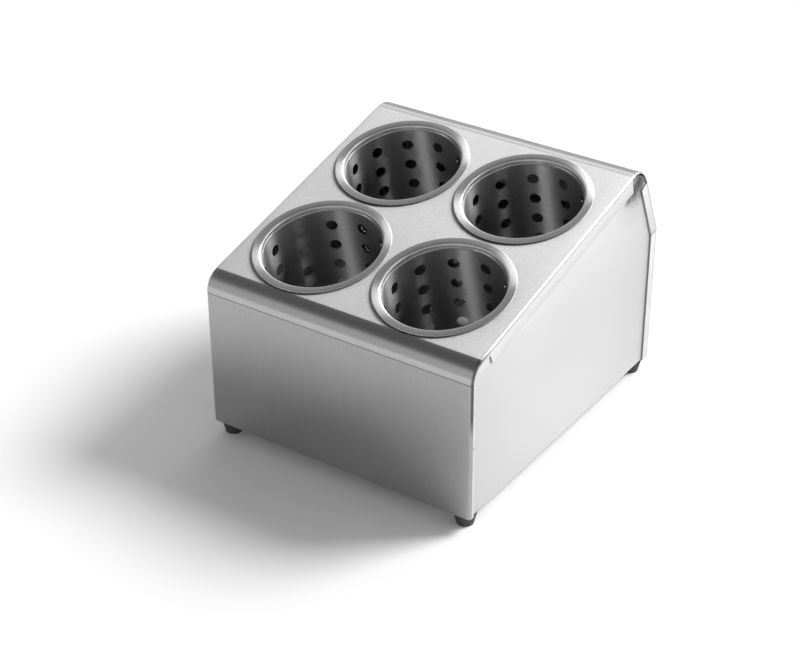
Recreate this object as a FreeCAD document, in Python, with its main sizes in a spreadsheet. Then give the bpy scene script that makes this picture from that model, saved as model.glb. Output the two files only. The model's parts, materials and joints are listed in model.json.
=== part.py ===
import FreeCAD, Part
import math
import os
import Sketcher

# Countertop cutlery dispenser in brushed stainless steel.
#
# A bent sheet wraps over the front, the sloping top, a rear facet and the back.
# Two flat side panels close it, the bottom is open, and four perforated cylinders
# hang by their rims in the round holes of the sloping top. They lift out square to it.
#
# X runs to the right, Y to the back, Z up. The origin lies on the table, in the
# middle of the dispenser's plan.

# ---------------------------------------------------------------- driving sizes
SIZES = [
    # case
    ("case_width", 244.0, "over the side flanges"),
    ("case_depth", 282.0, "front face to back face"),
    ("front_rise", 131.5, "lower edge up to where front face and top would meet"),
    ("back_rise", 122.5, "lower edge up to where facet and back face would meet"),
    ("facet_run", 31.5, "back face forward to where top and facet would meet"),
    ("slope_angle", 13.7, "rise of the top, in degrees"),
    ("sheet", 1.0, "thickness of the case sheet"),
    ("front_bend", 16.5, "outer radius, front to top"),
    ("rear_bend", 22.0, "outer radius, top to facet"),
    ("back_bend", 3.0, "outer radius, facet to back"),
    ("side_bend", 2.5, "outer radius, skin to side flange"),
    # flanges of the wrap that overlap the side panels
    ("front_lip", 5.0, "width of the flange on the front edge"),
    ("top_flange", 14.0, "width of the flange under the sloping top"),
    ("rear_flange", 10.5, "width of the flange on facet and back"),
    ("flange_start", 24.0, "from the front corner to the top flange, along the top"),
    ("flange_corner", 3.5, "radius of the top flange's front corner"),
    ("notch_reach", 20.0, "bare length each side of the rear corner"),
    ("mitre_slit", 0.5, "width of the slit between facet and back flange"),
    ("wrap_return", 12.0, "width of the lower return of front and back wall"),
    # side panels
    ("panel_sheet", 1.0, "thickness of a side panel"),
    ("panel_gap", 0.1, "clearance from panel edge to the wrap's inner bend"),
    ("panel_return", 22.0, "width of the panel's lower return"),
    ("panel_bend", 2.0, "outer radius of the panel's lower bend"),
    ("return_gap", 0.5, "clearance between neighbouring lower returns"),
    # places of the cylinders on the top
    ("column_gap", 4.0, "between neighbouring rims, left to right"),
    ("row_gap", 4.0, "between neighbouring rims, front to rear"),
    ("front_margin", 13.0, "front corner to the front rims, along the top"),
    ("hole_clearance", 2.5, "hole radius over the rim's neck"),
    # rim ring
    ("mouth_radius", 47.9, "inside of the rim's neck"),
    ("rim_width", 7.1, "mouth to outer edge of the rim"),
    ("rim_sheet", 0.9, "thickness of the rim"),
    ("rim_height", 2.0, "top of the rim above the sloping top"),
    ("mouth_bend", 2.0, "outer radius of the bend into the neck"),
    ("rim_edge_bend", 1.5, "outer radius of the rolled outer edge"),
    ("neck_reach", 6.0, "neck below the sloping top"),
    # perforated tube
    ("weld_fit", 0.05, "clearance of a welded fit"),
    ("tube_sheet", 0.8, "wall of the tube"),
    ("tube_top", 2.8, "upper edge of the tube below the sloping top"),
    ("cylinder_depth", 135.0, "underside of the base pan below the sloping top"),
    ("hole_radius", 4.8, "perforations"),
    ("first_hole", 17.4, "first row of perforations below the sloping top"),
    ("last_hole", 16.1, "last row of perforations above the pan's underside"),
    ("hole_rows", 6, "rows of perforations, evenly spread"),
    ("hole_columns", 11, "perforations around the tube"),
    # base pan
    ("base_sheet", 0.8, "thickness of the base pan"),
    ("base_rim", 8.0, "height of the base pan's upturned rim"),
    ("base_bend", 3.0, "outer radius of the base pan's bend"),
    ("drain_radius", 4.8, "drain holes"),
    ("drain_circle", 26.0, "radius of the ring of drain holes"),
    ("drain_count", 6, "drain holes in the ring"),
    # feet and their fasteners
    ("foot_height", 12.0, "table to lower edge of the case"),
    ("foot_top", 9.3, "radius at the top"),
    ("foot_neck", 1.2, "step in to the neck under the panel"),
    ("foot_neck_height", 1.4, "height of the neck"),
    ("foot_bottom", 6.8, "radius on the table"),
    ("foot_edge", 0.6, "rounding of the lower edge"),
    ("foot_recess", 4.75, "radius of the screw recess"),
    ("foot_recess_depth", 5.0, "depth of the screw recess"),
    ("foot_inset", 11.0, "outer faces to the foot's axis"),
    ("screw_radius", 2.0, "M4 shank"),
    ("screw_clearance", 0.25, "clearance holes over the shank"),
    ("screw_tip", 1.5, "shank beyond the nut"),
    ("head_radius", 4.0, "pan head"),
    ("head_height", 2.4, "pan head"),
    ("head_crown", 1.2, "rounding of the pan head"),
    ("washer_radius", 4.5, "washer in the recess"),
    ("washer_sheet", 1.0, "thickness of the washer"),
    ("nut_radius", 4.04, "across corners, half"),
    ("nut_height", 3.2, "hexagon nut"),
    ("thread_fit", 0.03, "clearance of nut on shank"),
    # how far each loose cylinder is turned in its hole, in degrees
    ("turn_front_left", 119.0, "first column of perforations from the X axis"),
    ("turn_front_right", 116.2, "first column of perforations from the X axis"),
    ("turn_rear_left", 121.0, "first column of perforations from the X axis"),
    ("turn_rear_right", 113.5, "first column of perforations from the X axis"),
    # where each one rests within the play of its hole
    ("slip_front_left", -1.2, "to the right of the hole's middle"),
    ("slip_front_right", -2.2, "to the right of the hole's middle"),
    ("slip_rear_left", -0.9, "to the right of the hole's middle"),
    ("slip_rear_right", -0.8, "to the right of the hole's middle"),
]

# Each cylinder stands in a column (left -1, right 1) and a row (front 0, rear 1).
CYLINDERS = {
    "front_left": (-1, 0),
    "front_right": (1, 0),
    "rear_left": (-1, 1),
    "rear_right": (1, 1),
}

doc = FreeCAD.newDocument("cutlery_dispenser")
sheet = doc.addObject("Spreadsheet::Sheet", "Sizes")


class Size:
    """A number together with the sheet formula that it comes from."""

    def __init__(self, number, formula):
        self.number = float(number)
        self.formula = formula

    def __add__(self, other):
        other = as_size(other)
        return Size(self.number + other.number, "(%s + %s)" % (self.formula, other.formula))

    def __sub__(self, other):
        other = as_size(other)
        return Size(self.number - other.number, "(%s - %s)" % (self.formula, other.formula))

    def __mul__(self, other):
        other = as_size(other)
        return Size(self.number * other.number, "(%s * %s)" % (self.formula, other.formula))

    def __truediv__(self, other):
        other = as_size(other)
        return Size(self.number / other.number, "(%s / %s)" % (self.formula, other.formula))

    def __neg__(self):
        return Size(-self.number, "(-1 * %s)" % self.formula)


def as_size(value):
    """Turn a plain number into a Size."""
    return value if isinstance(value, Size) else Size(value, repr(float(value)))


def sine(angle):
    return Size(math.sin(math.radians(angle.number)), "sin(%s)" % angle.formula)


def cosine(angle):
    return Size(math.cos(math.radians(angle.number)), "cos(%s)" % angle.formula)


def tangent(angle):
    return Size(math.tan(math.radians(angle.number)), "tan(%s)" % angle.formula)


def arc_tangent(ratio):
    """Angle in degrees; the sheet's atan gives an angle, so it is divided by one degree."""
    return Size(math.degrees(math.atan(ratio.number)), "(atan(%s) / 1deg)" % ratio.formula)


def fill_sheet():
    """Write each driving size to the sheet and return them by name."""
    known = {}
    for row, (name, number, note) in enumerate(SIZES, start=1):
        sheet.set("A%d" % row, name)
        sheet.set("B%d" % row, str(number))
        sheet.set("C%d" % row, note)
        sheet.setAlias("B%d" % row, name)
        known[name] = Size(number, "Sizes.%s" % name)
    return known


size = fill_sheet()
doc.recompute()

# The cylinders' places follow from their rims.
rim_radius = size["mouth_radius"] + size["rim_width"]
column_pitch = rim_radius * 2 + size["column_gap"]
row_pitch = rim_radius * 2 + size["row_gap"]
front_row = size["front_margin"] + rim_radius
hole_pitch = (size["cylinder_depth"] - size["first_hole"] - size["last_hole"]) / (size["hole_rows"] - 1)


# ------------------------------------------------------------ modelling helpers
def bind(thing, path, value):
    """Tie a property of an object to a sheet formula."""
    thing.setExpression(path, as_size(value).formula)


def origin_plane(body, role):
    """One of a body's own origin planes."""
    return [plane for plane in body.Origin.OriginFeatures if plane.Role == role][0]


def new_body(name):
    body = doc.addObject("PartDesign::Body", name)
    body.Label = name
    return body


def new_sketch(body, name, role):
    """A sketch on one of the body's origin planes."""
    sketch = body.newObject("Sketcher::SketchObject", name)
    sketch.AttachmentSupport = (origin_plane(body, role), [""])
    sketch.MapMode = "FlatFace"
    return sketch


def shift_sketch(sketch, axis, distance):
    """Offset a sketch from its plane, in the sketch's own axes."""
    bind(sketch, "AttachmentOffset.Base.%s" % axis, distance)


def pin_point(sketch, geometry, point, across, up):
    """Fix a point of a sketch to two sheet formulas."""
    for kind, value in (("DistanceX", across), ("DistanceY", up)):
        value = as_size(value)
        index = sketch.addConstraint(Sketcher.Constraint(kind, geometry, point, value.number))
        bind(sketch, "Constraints[%d]" % index, value)


def sketch_circle(sketch, across, up, radius):
    """A circle whose centre and radius are sheet formulas."""
    across, up, radius = as_size(across), as_size(up), as_size(radius)
    centre = FreeCAD.Vector(across.number, up.number, 0)
    circle = Part.Circle(centre, FreeCAD.Vector(0, 0, 1), radius.number)
    geometry = sketch.addGeometry(circle, False)
    pin_point(sketch, geometry, 3, across, up)
    index = sketch.addConstraint(Sketcher.Constraint("Radius", geometry, radius.number))
    bind(sketch, "Constraints[%d]" % index, radius)


def sketch_outline(sketch, corners):
    """A closed outline of straight runs. A corner is (across, up) or (across, up, radius).

    A rounded corner keeps its sharp point as construction geometry: both runs pass
    through that point, and an arc of the given radius touches them both.
    """
    count = len(corners)
    points = [FreeCAD.Vector(as_size(c[0]).number, as_size(c[1]).number, 0) for c in corners]
    before, after = [], []
    for i, corner in enumerate(corners):
        to_last = (points[i - 1] - points[i]).normalize()
        to_next = (points[(i + 1) % count] - points[i]).normalize()
        reach = 0.0
        if len(corner) == 3:
            half = to_last.getAngle(to_next) / 2
            reach = as_size(corner[2]).number / math.tan(half)
        before.append(points[i] + to_last * reach)
        after.append(points[i] + to_next * reach)
    runs = []
    for i in range(count):
        runs.append(sketch.addGeometry(Part.LineSegment(after[i], before[(i + 1) % count]), False))
    for i, corner in enumerate(corners):
        incoming, outgoing = runs[i - 1], runs[i]
        if len(corner) == 2:
            sketch.addConstraint(Sketcher.Constraint("Coincident", incoming, 2, outgoing, 1))
            pin_point(sketch, outgoing, 1, corner[0], corner[1])
            continue
        radius = as_size(corner[2])
        chord = (before[i] + after[i]) * 0.5
        half = (points[i - 1] - points[i]).getAngle(points[(i + 1) % count] - points[i]) / 2
        centre = points[i] + (chord - points[i]).normalize() * (radius.number / math.sin(half))
        middle = centre + (points[i] - centre).normalize() * radius.number
        arc = sketch.addGeometry(Part.Arc(before[i], middle, after[i]), False)
        start = sketch.getPoint(arc, 1)
        first, last = (1, 2) if (start - before[i]).Length < (start - after[i]).Length else (2, 1)
        sketch.addConstraint(Sketcher.Constraint("Tangent", incoming, 2, arc, first))
        sketch.addConstraint(Sketcher.Constraint("Tangent", arc, last, outgoing, 1))
        index = sketch.addConstraint(Sketcher.Constraint("Radius", arc, radius.number))
        bind(sketch, "Constraints[%d]" % index, radius)
        corner_point = sketch.addGeometry(Part.Point(points[i]), True)
        pin_point(sketch, corner_point, 1, corner[0], corner[1])
        for run in (incoming, outgoing):
            sketch.addConstraint(Sketcher.Constraint("PointOnObject", corner_point, 1, run))


def pad(body, sketch, length, both_ways=False, reverse=False):
    """Thicken a sketch into material."""
    feature = body.newObject("PartDesign::Pad", sketch.Name + "_pad")
    feature.Profile = sketch
    feature.Midplane = both_ways
    feature.Reversed = reverse
    bind(feature, "Length", length)
    sketch.Visibility = False
    doc.recompute()
    return feature


def pocket(body, sketch, length, both_ways=False, reverse=False):
    """Cut a sketch out of the body, and make sure that it did cut."""
    whole = body.Shape.Volume
    feature = body.newObject("PartDesign::Pocket", sketch.Name + "_pocket")
    feature.Profile = sketch
    feature.Midplane = both_ways
    feature.Reversed = reverse
    bind(feature, "Length", length)
    doc.recompute()
    if body.Shape.Volume >= whole:
        raise RuntimeError("%s cut nothing" % feature.Name)
    return feature


def round_edges(body, name, radius, choose):
    """Fillet the edges of the body's last feature that a test chooses."""
    base = body.Tip
    edges = ["Edge%d" % (i + 1) for i, edge in enumerate(base.Shape.Edges) if choose(edge)]
    feature = body.newObject("PartDesign::Fillet", name)
    feature.Base = (base, edges)
    bind(feature, "Radius", radius)
    doc.recompute()
    return feature


def revolve(body, sketch):
    """Turn a sketch once round its upright axis."""
    feature = body.newObject("PartDesign::Revolution", sketch.Name + "_turned")
    feature.Profile = sketch
    feature.ReferenceAxis = (sketch, ["V_Axis"])
    feature.Angle = 360.0
    doc.recompute()
    return feature


# ----------------------------------------------------------- the case's section
half_width = size["case_width"] / 2
half_depth = size["case_depth"] / 2
floor_gap = size["foot_height"]
front = -half_depth
back = half_depth
slope_sine = sine(size["slope_angle"])
slope_cosine = cosine(size["slope_angle"])
slope_tangent = tangent(size["slope_angle"])
top_corner = floor_gap + size["front_rise"]
rear_corner_y = back - size["facet_run"]
rear_corner_z = top_corner + (rear_corner_y - front) * slope_tangent
back_corner_z = floor_gap + size["back_rise"]
facet_angle = arc_tangent((rear_corner_z - back_corner_z) / size["facet_run"])
facet_sine = sine(facet_angle)
facet_cosine = cosine(facet_angle)


def bent(across, up, radius):
    """A corner of the section; a bend whose radius is used up by the inset is sharp."""
    return (across, up, radius) if radius.number > 0.05 else (across, up)


def section(inset, lower):
    """Corners of the case's section, moved inwards by a distance, down to a lower edge."""
    slope_drop = inset / slope_cosine
    facet_shift = inset / facet_cosine
    front_y = front + inset
    back_y = back - inset
    front_z = top_corner + inset * slope_tangent - slope_drop
    # the inset top meets the inset facet
    facet_tangent = tangent(facet_angle)
    lift_top = rear_corner_z - slope_drop
    lift_facet = rear_corner_z - facet_shift
    rear_step = (lift_facet - lift_top) / (slope_tangent + facet_tangent)
    rear_y = rear_corner_y + rear_step
    rear_z = lift_top + rear_step * slope_tangent
    back_z = back_corner_z + inset * facet_tangent - facet_shift
    return [
        (front_y, lower),
        bent(front_y, front_z, size["front_bend"] - inset),
        bent(rear_y, rear_z, size["rear_bend"] - inset),
        bent(back_y, back_z, size["back_bend"] - inset),
        (back_y, lower),
    ]


def on_top(along, below):
    """Point of the section: along the top from the front corner, and square below it."""
    across = front + along * slope_cosine + below * slope_sine
    up = top_corner + along * slope_sine - below * slope_cosine
    return across, up


def on_facet(along, below):
    """Point of the section: along the facet from the rear corner, and square below it."""
    across = rear_corner_y + along * facet_cosine - below * facet_sine
    up = rear_corner_z - along * facet_sine - below * facet_cosine
    return across, up


# ------------------------------------------------------------------ outer wrap
def side_edge(edge, half, lower):
    """True for an edge that lies in one of the planes x = half or x = -half, above the lower edge."""
    corners = [vertex.Point for vertex in edge.Vertexes]
    in_plane = all(abs(abs(point.x) - half) < 1e-4 for point in corners)
    on_floor = all(abs(point.z - lower) < 1e-4 for point in corners)
    return in_plane and not on_floor


def make_wrap():
    """One sheet bent over front, top, facet and back, with flanges turned down at both sides."""
    wall = size["sheet"]
    body = new_body("outer_wrap")

    outside = new_sketch(body, "wrap_outside", "YZ_Plane")
    sketch_outline(outside, section(as_size(0), floor_gap))
    pad(body, outside, size["case_width"], both_ways=True)
    outer_half = half_width.number
    round_edges(body, "wrap_side_bends", size["side_bend"],
                lambda edge: side_edge(edge, outer_half, floor_gap.number))

    inside = new_sketch(body, "wrap_inside", "YZ_Plane")
    sketch_outline(inside, section(wall, floor_gap - wall))
    pocket(body, inside, size["case_width"] - wall * 2, both_ways=True)
    inner_half = (half_width - wall).number
    round_edges(body, "wrap_inner_bends", size["side_bend"] - wall,
                lambda edge: side_edge(edge, inner_half, floor_gap.number))

    # the side walls are cut away down to the flanges, and fully round the rear bend
    lip, top_flange, rear_flange = size["front_lip"], size["top_flange"], size["rear_flange"]
    start, notch = size["flange_start"], size["notch_reach"]
    top_length = (rear_corner_y - front) / slope_cosine
    below = floor_gap - wall
    window = new_sketch(body, "side_window", "YZ_Plane")
    sketch_outline(window, [
        (front + lip, below),
        section(lip, below)[1],
        on_top(start, lip),
        on_top(start, top_flange) + (size["flange_corner"],),
        on_top(top_length - notch, top_flange),
        on_top(top_length - notch, wall),
        section(wall, below)[2],
        on_facet(notch, wall),
        on_facet(notch, rear_flange),
        section(rear_flange, below)[3][:2],
        (back - rear_flange, below),
    ])
    pocket(body, window, size["case_width"] * 2, both_ways=True)

    # a slit parts the facet's flange from the back's
    inner_end = section(rear_flange + wall, below)[3][:2]
    outer_end = section(wall, below)[3][:2]
    half_slit = size["mitre_slit"] / 2
    slit = new_sketch(body, "mitre_slit", "YZ_Plane")
    sketch_outline(slit, [
        (inner_end[0], inner_end[1] - half_slit),
        (outer_end[0], outer_end[1] - half_slit),
        (outer_end[0], outer_end[1] + half_slit),
        (inner_end[0], inner_end[1] + half_slit),
    ])
    pocket(body, slit, size["case_width"] * 2, both_ways=True)

    # front and back wall turn in at the bottom, between the panels' own returns
    reach = half_width - wall - size["panel_sheet"] - size["panel_return"] - size["return_gap"]
    for name, near, far in (
        ("front_return", front + wall, front + wall + size["wrap_return"]),
        ("back_return", back - wall - size["wrap_return"], back - wall),
    ):
        turned_in = new_sketch(body, name, "XY_Plane")
        shift_sketch(turned_in, "z", floor_gap)
        sketch_outline(turned_in, [(-reach, near), (reach, near), (reach, far), (-reach, far)])
        pad(body, turned_in, wall)

    holes = new_sketch(body, "cylinder_holes", "XY_Plane")
    tilt = FreeCAD.Rotation(FreeCAD.Vector(1, 0, 0), size["slope_angle"].number)
    holes.AttachmentOffset = FreeCAD.Placement(FreeCAD.Vector(), tilt)
    bind(holes, "AttachmentOffset.Rotation.Angle", size["slope_angle"])
    shift_sketch(holes, "y", front)
    shift_sketch(holes, "z", top_corner)
    neck_radius = size["mouth_radius"] + size["rim_sheet"]
    for side, row in CYLINDERS.values():
        sketch_circle(holes, column_pitch / 2 * side, front_row + row_pitch * row,
                      neck_radius + size["hole_clearance"])
    pocket(body, holes, wall * 6, both_ways=True)
    return body


# ----------------------------------------------------------------- side panels
def make_side_panel(name, side):
    """A flat panel behind the wrap's flanges, turned in at the bottom to carry two feet."""
    wall, thick = size["sheet"], size["panel_sheet"]
    edge_gap = size["side_bend"] + size["panel_gap"]
    outer_face = half_width - wall
    inner_face = outer_face - thick
    body = new_body(name)

    plate = new_sketch(body, name + "_plate", "YZ_Plane")
    shift_sketch(plate, "z", inner_face if side > 0 else -outer_face)
    sketch_outline(plate, section(edge_gap, floor_gap))
    pad(body, plate, thick)

    turned_in = new_sketch(body, name + "_return", "XY_Plane")
    shift_sketch(turned_in, "z", floor_gap)
    near, far = inner_face * side, (inner_face - size["panel_return"]) * side
    sketch_outline(turned_in, [
        (near, front + edge_gap), (near, back - edge_gap), (far, back - edge_gap), (far, front + edge_gap),
    ])
    pad(body, turned_in, thick)
    low = floor_gap.number

    def outer_bend(edge):
        points = [vertex.Point for vertex in edge.Vertexes]
        return all(abs(abs(p.x) - outer_face.number) < 1e-4 and abs(p.z - low) < 1e-4 for p in points)

    def inner_bend(edge):
        points = [vertex.Point for vertex in edge.Vertexes]
        corner = low + thick.number
        return all(abs(abs(p.x) - inner_face.number) < 1e-4 and abs(p.z - corner) < 1e-4 for p in points)

    round_edges(body, name + "_outer_bend", size["panel_bend"], outer_bend)
    round_edges(body, name + "_inner_bend", size["panel_bend"] - thick, inner_bend)

    bolt_holes = new_sketch(body, name + "_holes", "XY_Plane")
    shift_sketch(bolt_holes, "z", floor_gap)
    for end in (-1, 1):
        sketch_circle(bolt_holes, (half_width - size["foot_inset"]) * side,
                      (half_depth - size["foot_inset"]) * end, size["screw_radius"] + size["screw_clearance"])
    pocket(body, bolt_holes, thick * 3, both_ways=True)
    return body


# ------------------------------------------------------------ feet and fasteners
FOOT_PLACES = {
    "front_left": (-1, -1),
    "front_right": (1, -1),
    "rear_left": (-1, 1),
    "rear_right": (1, 1),
}


def stand_at_foot(thing, corner, height):
    """Put a round part on the axis of one of the feet."""
    side, end = FOOT_PLACES[corner]
    bind(thing, "Placement.Base.x", (half_width - size["foot_inset"]) * side)
    bind(thing, "Placement.Base.y", (half_depth - size["foot_inset"]) * end)
    bind(thing, "Placement.Base.z", height)


def make_foot(corner):
    """A tapered rubber foot, with a recess below for the screw's head."""
    name = "foot_" + corner
    body = new_body(name)
    bore = size["screw_radius"] + size["screw_clearance"]
    profile = new_sketch(body, name + "_profile", "XZ_Plane")
    sketch_outline(profile, [
        (bore, size["foot_recess_depth"]),
        (bore, size["foot_height"]),
        (size["foot_top"] - size["foot_neck"], size["foot_height"]),
        (size["foot_top"] - size["foot_neck"], size["foot_height"] - size["foot_neck_height"]),
        (size["foot_top"], size["foot_height"] - size["foot_neck_height"]),
        (size["foot_bottom"], 0.0, size["foot_edge"]),
        (size["foot_recess"], 0.0),
        (size["foot_recess"], size["foot_recess_depth"]),
    ])
    revolve(body, profile)
    stand_at_foot(body, corner, as_size(0))
    return body


def make_screw(corner):
    """A pan head screw that comes up through washer, foot and panel."""
    name = "screw_" + corner
    body = new_body(name)
    seat = size["foot_recess_depth"] - size["washer_sheet"]
    tip = floor_gap + size["panel_sheet"] + size["nut_height"] + size["screw_tip"]
    profile = new_sketch(body, name + "_profile", "XZ_Plane")
    sketch_outline(profile, [
        (0.0, seat - size["head_height"]),
        (size["head_radius"], seat - size["head_height"], size["head_crown"]),
        (size["head_radius"], seat),
        (size["screw_radius"], seat),
        (size["screw_radius"], tip),
        (0.0, tip),
    ])
    revolve(body, profile)
    stand_at_foot(body, corner, as_size(0))
    return body


def bored(name, blank, bore, height):
    """Cut a round bore through a blank that stands on z = 0."""
    drill = doc.addObject("Part::Cylinder", name + "_bore")
    bind(drill, "Radius", bore)
    bind(drill, "Height", height)
    part = doc.addObject("Part::Cut", name)
    part.Base = blank
    part.Tool = drill
    return part


def make_washer(corner):
    """A flat washer at the top of the foot's recess."""
    name = "washer_" + corner
    blank = doc.addObject("Part::Cylinder", name + "_blank")
    bind(blank, "Radius", size["washer_radius"])
    bind(blank, "Height", size["washer_sheet"])
    part = bored(name, blank, size["screw_radius"] + size["screw_clearance"], size["washer_sheet"])
    stand_at_foot(part, corner, size["foot_recess_depth"] - size["washer_sheet"])
    return part


def make_nut(corner):
    """A hexagon nut on the panel's lower return."""
    name = "nut_" + corner
    blank = doc.addObject("Part::Prism", name + "_blank")
    blank.Polygon = 6
    bind(blank, "Circumradius", size["nut_radius"])
    bind(blank, "Height", size["nut_height"])
    part = bored(name, blank, size["screw_radius"] + size["thread_fit"], size["nut_height"])
    stand_at_foot(part, corner, floor_gap + size["panel_sheet"])
    return part


def make_set(name, make_one):
    """Four alike fasteners, one at each foot, kept as separate solids of one group."""
    group = doc.addObject("Part::Compound", name)
    group.Label = name
    group.Links = [make_one(corner) for corner in FOOT_PLACES]
    return group


# ------------------------------------------------------------------- cylinders
def hang_in_hole(body, place, side, row):
    """Stand a cylinder part in its hole: its own Z is square to the sloping top."""
    along = front_row + row_pitch * row
    axis = FreeCAD.Vector(1, 0, 0)
    body.Placement = FreeCAD.Placement(FreeCAD.Vector(), FreeCAD.Rotation(axis, size["slope_angle"].number))
    bind(body, "Placement.Rotation.Angle", size["slope_angle"])
    bind(body, "Placement.Base.x", column_pitch / 2 * side + size["slip_" + place])
    bind(body, "Placement.Base.y", front + along * slope_cosine)
    bind(body, "Placement.Base.z", top_corner + along * slope_sine)


def make_rim(place, side, row):
    """The ring that rests on the top: rolled outer edge, flat face, bend down into a neck."""
    name = "rim_ring_" + place
    wall, high = size["rim_sheet"], size["rim_height"]
    mouth, edge = size["mouth_radius"], rim_radius
    body = new_body(name)
    profile = new_sketch(body, name + "_profile", "XZ_Plane")
    sketch_outline(profile, [
        (edge, 0.0),
        (edge, high, size["rim_edge_bend"]),
        (mouth, high, size["mouth_bend"]),
        (mouth, -size["neck_reach"]),
        (mouth + wall, -size["neck_reach"]),
        (mouth + wall, high - wall, size["mouth_bend"] - wall),
        (edge - wall, high - wall, size["rim_edge_bend"] - wall),
        (edge - wall, 0.0),
    ])
    revolve(body, profile)
    hang_in_hole(body, place, side, row)
    return body


def repeat_round(body, feature, sketch, axis, count):
    """Repeat a cut round an axis of its sketch."""
    pattern = body.newObject("PartDesign::PolarPattern", feature.Name + "_round")
    pattern.Originals = [feature]
    pattern.Axis = (sketch, [axis])
    pattern.Angle = 360.0
    bind(pattern, "Occurrences", count)
    body.Tip = pattern
    doc.recompute()
    return pattern


def make_tube(place, side, row, turn):
    """The perforated wall: a plain tube with rows of round holes in even columns."""
    name = "tube_" + place
    outer = size["mouth_radius"] - size["weld_fit"]
    inner = outer - size["tube_sheet"]
    low = size["base_bend"] + size["weld_fit"] - size["cylinder_depth"]
    body = new_body(name)
    profile = new_sketch(body, name + "_profile", "XZ_Plane")
    sketch_outline(profile, [
        (inner, low),
        (outer, low),
        (outer, -size["tube_top"]),
        (inner, -size["tube_top"]),
    ])
    revolve(body, profile)

    column = new_sketch(body, name + "_column", "XZ_Plane")
    quarter = 90.0
    upright = FreeCAD.Vector(0, 1, 0)
    column.AttachmentOffset = FreeCAD.Placement(
        FreeCAD.Vector(), FreeCAD.Rotation(upright, (turn - quarter).number))
    bind(column, "AttachmentOffset.Rotation.Angle", turn - quarter)
    for k in range(int(size["hole_rows"].number)):
        sketch_circle(column, 0.0, -(size["first_hole"] + hole_pitch * k), size["hole_radius"])
    cut = pocket(body, column, outer + size["tube_sheet"])
    repeat_round(body, cut, column, "V_Axis", size["hole_columns"])
    hang_in_hole(body, place, side, row)
    return body


def make_base(place, side, row):
    """The drawn pan that takes the tube's lower end: turned up at its edge, with drain holes."""
    name = "base_pan_" + place
    wall, bend = size["base_sheet"], size["base_bend"]
    edge = size["mouth_radius"] + wall
    low = -size["cylinder_depth"]
    body = new_body(name)
    profile = new_sketch(body, name + "_profile", "XZ_Plane")
    sketch_outline(profile, [
        (0.0, low),
        (edge, low, bend),
        (edge, low + size["base_rim"]),
        (edge - wall, low + size["base_rim"]),
        (edge - wall, low + wall, bend - wall),
        (0.0, low + wall),
    ])
    revolve(body, profile)

    middle = new_sketch(body, name + "_middle_drain", "XY_Plane")
    shift_sketch(middle, "z", low)
    sketch_circle(middle, 0.0, 0.0, size["drain_radius"])
    pocket(body, middle, wall * 4, both_ways=True)

    ring = new_sketch(body, name + "_ring_drain", "XY_Plane")
    shift_sketch(ring, "z", low)
    sketch_circle(ring, size["drain_circle"], 0.0, size["drain_radius"])
    cut = pocket(body, ring, wall * 4, both_ways=True)
    repeat_round(body, cut, ring, "N_Axis", size["drain_count"])
    hang_in_hole(body, place, side, row)
    return body


# -------------------------------------------------------------------- assembly
parts = [make_wrap(), make_side_panel("side_panel_left", -1), make_side_panel("side_panel_right", 1)]
for corner in FOOT_PLACES:
    parts.append(make_foot(corner))
parts.append(make_set("foot_screws", make_screw))
parts.append(make_set("foot_washers", make_washer))
parts.append(make_set("foot_nuts", make_nut))
for place, (side, row) in CYLINDERS.items():
    parts.append(make_rim(place, side, row))
    parts.append(make_tube(place, side, row, size["turn_" + place]))
    parts.append(make_base(place, side, row))
doc.recompute()

for thing in doc.Objects:
    if "Invalid" in thing.State or "Error" in thing.State:
        raise RuntimeError("%s did not compute" % thing.Name)
os.makedirs("parts", exist_ok=True)
for part in parts:
    if part.Shape.isNull() or not part.Shape.isValid():
        raise RuntimeError("%s has no valid shape" % part.Label)
    part.Shape.exportStep("parts/%s.step" % part.Label)
    print("%-24s solids %d  volume %9.1f mm3" % (part.Label, len(part.Shape.Solids), part.Shape.Volume))
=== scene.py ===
# %% [markdown]
# # A countertop cutlery dispenser in brushed stainless steel
#
# The real thing is a bent steel wrap with two side panels, and four perforated
# cylinders that hang by their rims in round holes of the sloping top. This lesson
# builds its visible surfaces from formulas, gives them brushed-metal materials, and
# sets up a small studio. Everything is in metres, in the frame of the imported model:
# X to the right, Y to the back, Z up, the table at z = 0.

# %% Load the frame
import json
import math

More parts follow.
